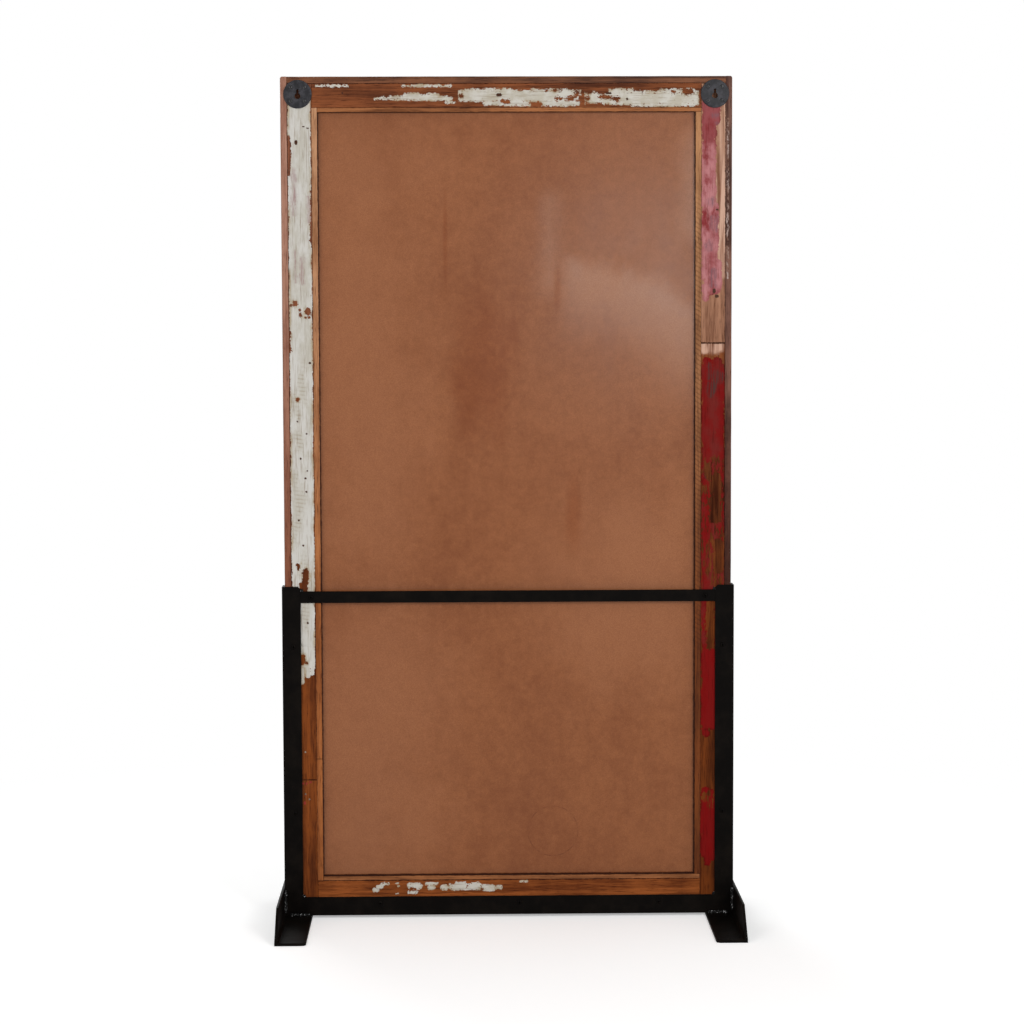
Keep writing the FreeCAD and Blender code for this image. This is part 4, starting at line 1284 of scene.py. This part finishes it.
@dataclass
class Stand:
    """The welded stand: its steel sections, seams and screws."""

    steel: SteelFinish = SteelFinish("black_steel", (7, 5, 4), (17, 13, 10), 0.5, shine=0.035)
    # The seam's near-white specks are painted highlights on its lumps.
    seam: SteelFinish = SteelFinish("weld_steel", (8, 8, 8), (20, 19, 19), 0.4, speck=(205, 205, 206),
                                    clean=0.58)
    edge_ease: float = 0.0009
    shortest: float = 0.012
    head_diameter: float = 0.011
    head_height: float = 0.003
    weld_radius: float = 0.0042
    weld_ripple: float = 0.0042
    weld_step: float = 0.0007
    weld_sides: int = 12
    weld_smooth_degrees: float = 40.0
    sink: float = 0.0012
    outer_face: float = 0.4835
    inner_edge: float = 0.4435
    foot_leg: float = 0.006
    foot_seam_across: Span = (0.4292, 0.4712)
    foot_seam_up: Span = (0.013, 0.0605)
    tack_depth: Span = (0.0035, 0.0015)
    bar_top: float = 0.708
    shelf_top: float = 0.046

    def build(self) -> None:
        """Make and dress every piece of the stand."""
        black = self.steel.build()
        for node in SECTIONS:
            mesh = copy_of(node)
            ease_edges(mesh, self.edge_ease, self.shortest)
            add_dressed(node, mesh, black)
        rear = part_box("left_upright")[1].y
        self.add_welds(rear, self.seam.build())
        self.add_screws(rear, black)

    def add_screws(self, rear: float, finish: Material) -> None:
        """Set a cross-recessed pan head wherever the solids have a screw.

        Args:
            rear: the depth of the steel's rear face.
            finish: the steel's finish.
        """
        tree = cross_heads("pan_heads", self.head_diameter, self.head_height)
        for node, (across, up) in STAND_SCREWS.items():
            points = [(x, rear, z) for x in across for z in up]
            add_piece(f"{node}_heads", tree.run(points, finish), finish, [node])

    def add_welds(self, rear: float, finish: Material) -> None:
        """Lay a rippled seam along every weld of the solids.

        Args:
            rear: the depth of the steel's rear face.
            finish: the steel's finish.
        """
        tree = self.weld_tree()
        for node, points in self.weld_ends(rear).items():
            pairs = [(i, i + 1) for i in range(0, len(points), 2)]
            data = tree.run(points, finish, pairs)
            add_piece(f"{node}_seams", data, finish, [node], self.weld_smooth_degrees)

    def weld_tree(self) -> GeometryGraph:
        """Build the tree that sweeps a rippled, lumpy seam along every line.

        Returns:
            The finished tree.
        """
        sizes = {"Seam radius": self.weld_radius, "Ripple pitch": self.weld_ripple, "Step": self.weld_step}
        tree = GeometryGraph("weld_seams", sizes)
        line = tree.out("GeometryNodeMeshToCurve", {"Mesh": tree.given("Geometry")})
        inputs = {"Curve": line, "Length": tree.given("Step")}
        line = tree.out("GeometryNodeResampleCurve", inputs, mode="LENGTH")
        run = tree.add("GeometryNodeSplineParameter").outputs["Length"]
        turns = tree.times(tree.math("DIVIDE", run, tree.given("Ripple pitch")), math.tau)
        ripple = tree.scaled(tree.math("SINE", turns), 0.07, 0.95)
        lumps = tree.scaled(tree.noise(tree.out("GeometryNodeInputPosition"), SEAM_LUMPS), 0.5, -0.25)
        radius = tree.times(tree.given("Seam radius"), tree.plus(ripple, lumps))
        tree.close(tree.swept(line, radius, self.weld_sides))
        return tree

    def weld_ends(self, rear: float) -> dict[str, list[Point]]:
        """Work out where the welds start and end.

        Args:
            rear: the depth of the steel's rear face.

        Returns:
            The ends of each node's welds, two by two.
        """
        ends: dict[str, list[Point]] = {"foot_welds": [], "cross_bar_welds": [], "shelf_welds": []}
        for sign in (-1, 1):
            outer, inner = sign * (self.outer_face - self.sink), sign * (self.inner_edge - self.sink)
            ends["foot_welds"] += [(outer, rear + self.sink, z) for z in self.foot_seam_up]
            ends["foot_welds"] += [
                (sign * x, rear + self.sink, self.foot_leg + self.sink) for x in self.foot_seam_across
            ]
            for node, top in (("cross_bar_welds", self.bar_top), ("shelf_welds", self.shelf_top)):
                ends[node] += [(inner, rear - depth, top + self.sink) for depth in self.tack_depth]
        return ends


@dataclass
class Nails:
    """Old nail heads that are still in the planks."""

    steel: SteelFinish = SteelFinish("old_nails", (148, 140, 128), (96, 84, 72), 0.5, metallic=0.6)
    diameter: float = 0.0042
    height: float = 0.0007
    flatness: float = 2.0
    sink: float = 0.0002
    places: tuple[Span, ...] = ((0.4365, 0.361), (0.437, 0.27), (0.4288, 0.2585))

    def build(self) -> None:
        """Make and dress the nail heads."""
        tree = GeometryGraph("nail_heads", {"Head diameter": self.diameter, "Head height": self.height})
        head = tree.dome(tree.given("Head diameter"), tree.given("Head height"), self.flatness)
        tree.close(tree.set_on_points(head))
        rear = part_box("right_stile_lower")[1].y - self.sink
        finish = self.steel.build()
        points = [(x, rear, z) for x, z in self.places]
        add_piece("plank_nails", tree.run(points, finish), finish)


@dataclass(frozen=True)
class Lamp:
    """A soft lamp: its place, what it faces, its width, height and power."""

    name: str
    place: Point
    target: Point
    width: float
    height: float
    power: float

    def build(self) -> None:
        """Put the lamp into the scene."""
        data = bpy.data.lights.new(self.name, "AREA")
        data.shape = "RECTANGLE"
        data.size, data.size_y = self.width, self.height
        data.energy = self.power
        lamp = bpy.data.objects.new(self.name, data)
        lamp.location = self.place
        look = Vector(self.target) - Vector(self.place)
        lamp.rotation_euler = look.to_track_quat("-Z", "Y").to_euler()
        bpy.context.scene.collection.objects.link(lamp)


FLOOR_GRIT = Noise(40.0, 5.0)


@dataclass
class Studio:
    """The pale floor, the white surroundings, the lamps and the camera."""

    world_light: float = 0.52
    floor_half: float = 15.0
    floor_dark: tuple[float, ...] = (0.86, 0.86, 0.86, 1.0)
    floor_light: tuple[float, ...] = (0.89, 0.89, 0.885, 1.0)
    floor_lift: float = 0.36
    floor_fade: Span = (0.9, 2.2)
    camera_place: Point = (0.09749, 5.7748, 1.32578)
    camera_target: Point = (-0.00874, -0.029, 0.87603)
    camera_roll_degrees: float = -0.1873
    lens: float = 95.864
    sensor: float = 36.0
    furthest: float = 100.0
    lamps: tuple[Lamp, ...] = (
        Lamp("key", (-2.2, 4.4, 2.5), (-0.1, 0.0, 1.1), 1.4, 1.4, 88.0),
        Lamp("fill", (2.8, 4.0, 1.8), (0.1, 0.0, 0.9), 1.8, 1.8, 40.0),
        Lamp("sheen", (-0.72, 5.6, 1.44), (-0.31, 0.0, 1.38), 0.34, 0.5, 14.0),
        Lamp("front", (1.4, -4.2, 2.8), (0.0, 0.0, 0.9), 2.2, 1.8, 70.0),
    )

    def build(self) -> None:
        """Make the whole studio."""
        bpy.context.scene.view_settings.view_transform = "Standard"
        self.add_world()
        self.add_floor()
        for lamp in self.lamps:
            lamp.build()
        self.add_camera()

    @staticmethod
    def seen(graph: Graph) -> Socket:
        """Return 1 for a ray that shows the surroundings, straight, mirrored or through glass."""
        paths = graph.add("ShaderNodeLightPath").outputs
        kinds = ("Camera", "Glossy", "Transmission")
        return reduce(graph.larger, [paths[f"Is {kind} Ray"] for kind in kinds])

    def add_world(self) -> None:
        """Surround the object with even light that shows as white."""
        world = bpy.data.worlds.new("studio")
        world.use_nodes = True
        world.node_tree.nodes.clear()
        graph = Graph(world.node_tree)
        strength = graph.ramp(self.seen(graph), 0.0, 1.0, self.world_light, 1.0)
        light = graph.out("ShaderNodeBackground", {"Color": WHITE, "Strength": strength})
        graph.add("ShaderNodeOutputWorld", {"Surface": light})
        bpy.context.scene.world = world

    def add_floor(self) -> None:
        """Lay a pale floor that keeps shadows near the object and fades to white away from it."""
        graph = MaterialGraph("pale_floor")
        inputs = {0: graph.noise(graph.place, FLOOR_GRIT), 6: self.floor_dark, 7: self.floor_light}
        pale = graph.add("ShaderNodeMix", inputs, data_type="RGBA").outputs[2]
        matt = graph.out("ShaderNodeBsdfDiffuse", {"Color": pale})
        strength = graph.times(self.seen(graph), self.floor_lift)
        lift = graph.out("ShaderNodeEmission", {"Color": WHITE, "Strength": strength})
        near = graph.out("ShaderNodeAddShader", {0: matt, 1: lift})
        far = graph.out("ShaderNodeEmission", {"Color": WHITE, "Strength": 1.0})
        away = graph.ramp(graph.length(graph.place), *self.floor_fade)
        share = graph.times(away, self.seen(graph))
        surface = graph.out("ShaderNodeMixShader", {0: share, 1: near, 2: far})
        graph.add("ShaderNodeOutputMaterial", {"Surface": surface})
        data = bpy.data.meshes.new("studio_floor")
        half = self.floor_half
        corners = [(-half, -half, 0), (half, -half, 0), (half, half, 0), (-half, half, 0)]
        data.from_pydata(corners, [], [(0, 1, 2, 3)])
        data.materials.append(graph.material)
        floor = bpy.data.objects.new("studio_floor", data)
        bpy.context.scene.collection.objects.link(floor)

    def add_camera(self) -> None:
        """Set the camera where the photograph was taken from."""
        data = bpy.data.cameras.new("view")
        data.lens, data.sensor_width = self.lens, self.sensor
        data.clip_end = self.furthest
        camera = bpy.data.objects.new("view", data)
        camera.location = self.camera_place
        look = Vector(self.camera_target) - Vector(self.camera_place)
        roll = Quaternion((0, 0, 1), math.radians(self.camera_roll_degrees))
        camera.rotation_mode = "QUATERNION"
        camera.rotation_quaternion = look.to_track_quat("-Z", "Y") @ roll
        bpy.context.scene.collection.objects.link(camera)
        bpy.context.scene.camera = camera


def main() -> None:
    """Build every part of the object and the studio."""
    logging.basicConfig(level=logging.INFO, format="%(message)s")
    for part in (PlankFrame(), Backing(), HangerPlates(), Stand(), Nails(), Studio()):
        part.build()
        log.info("%s done", type(part).__name__)


if __name__ == "__main__":
    main()
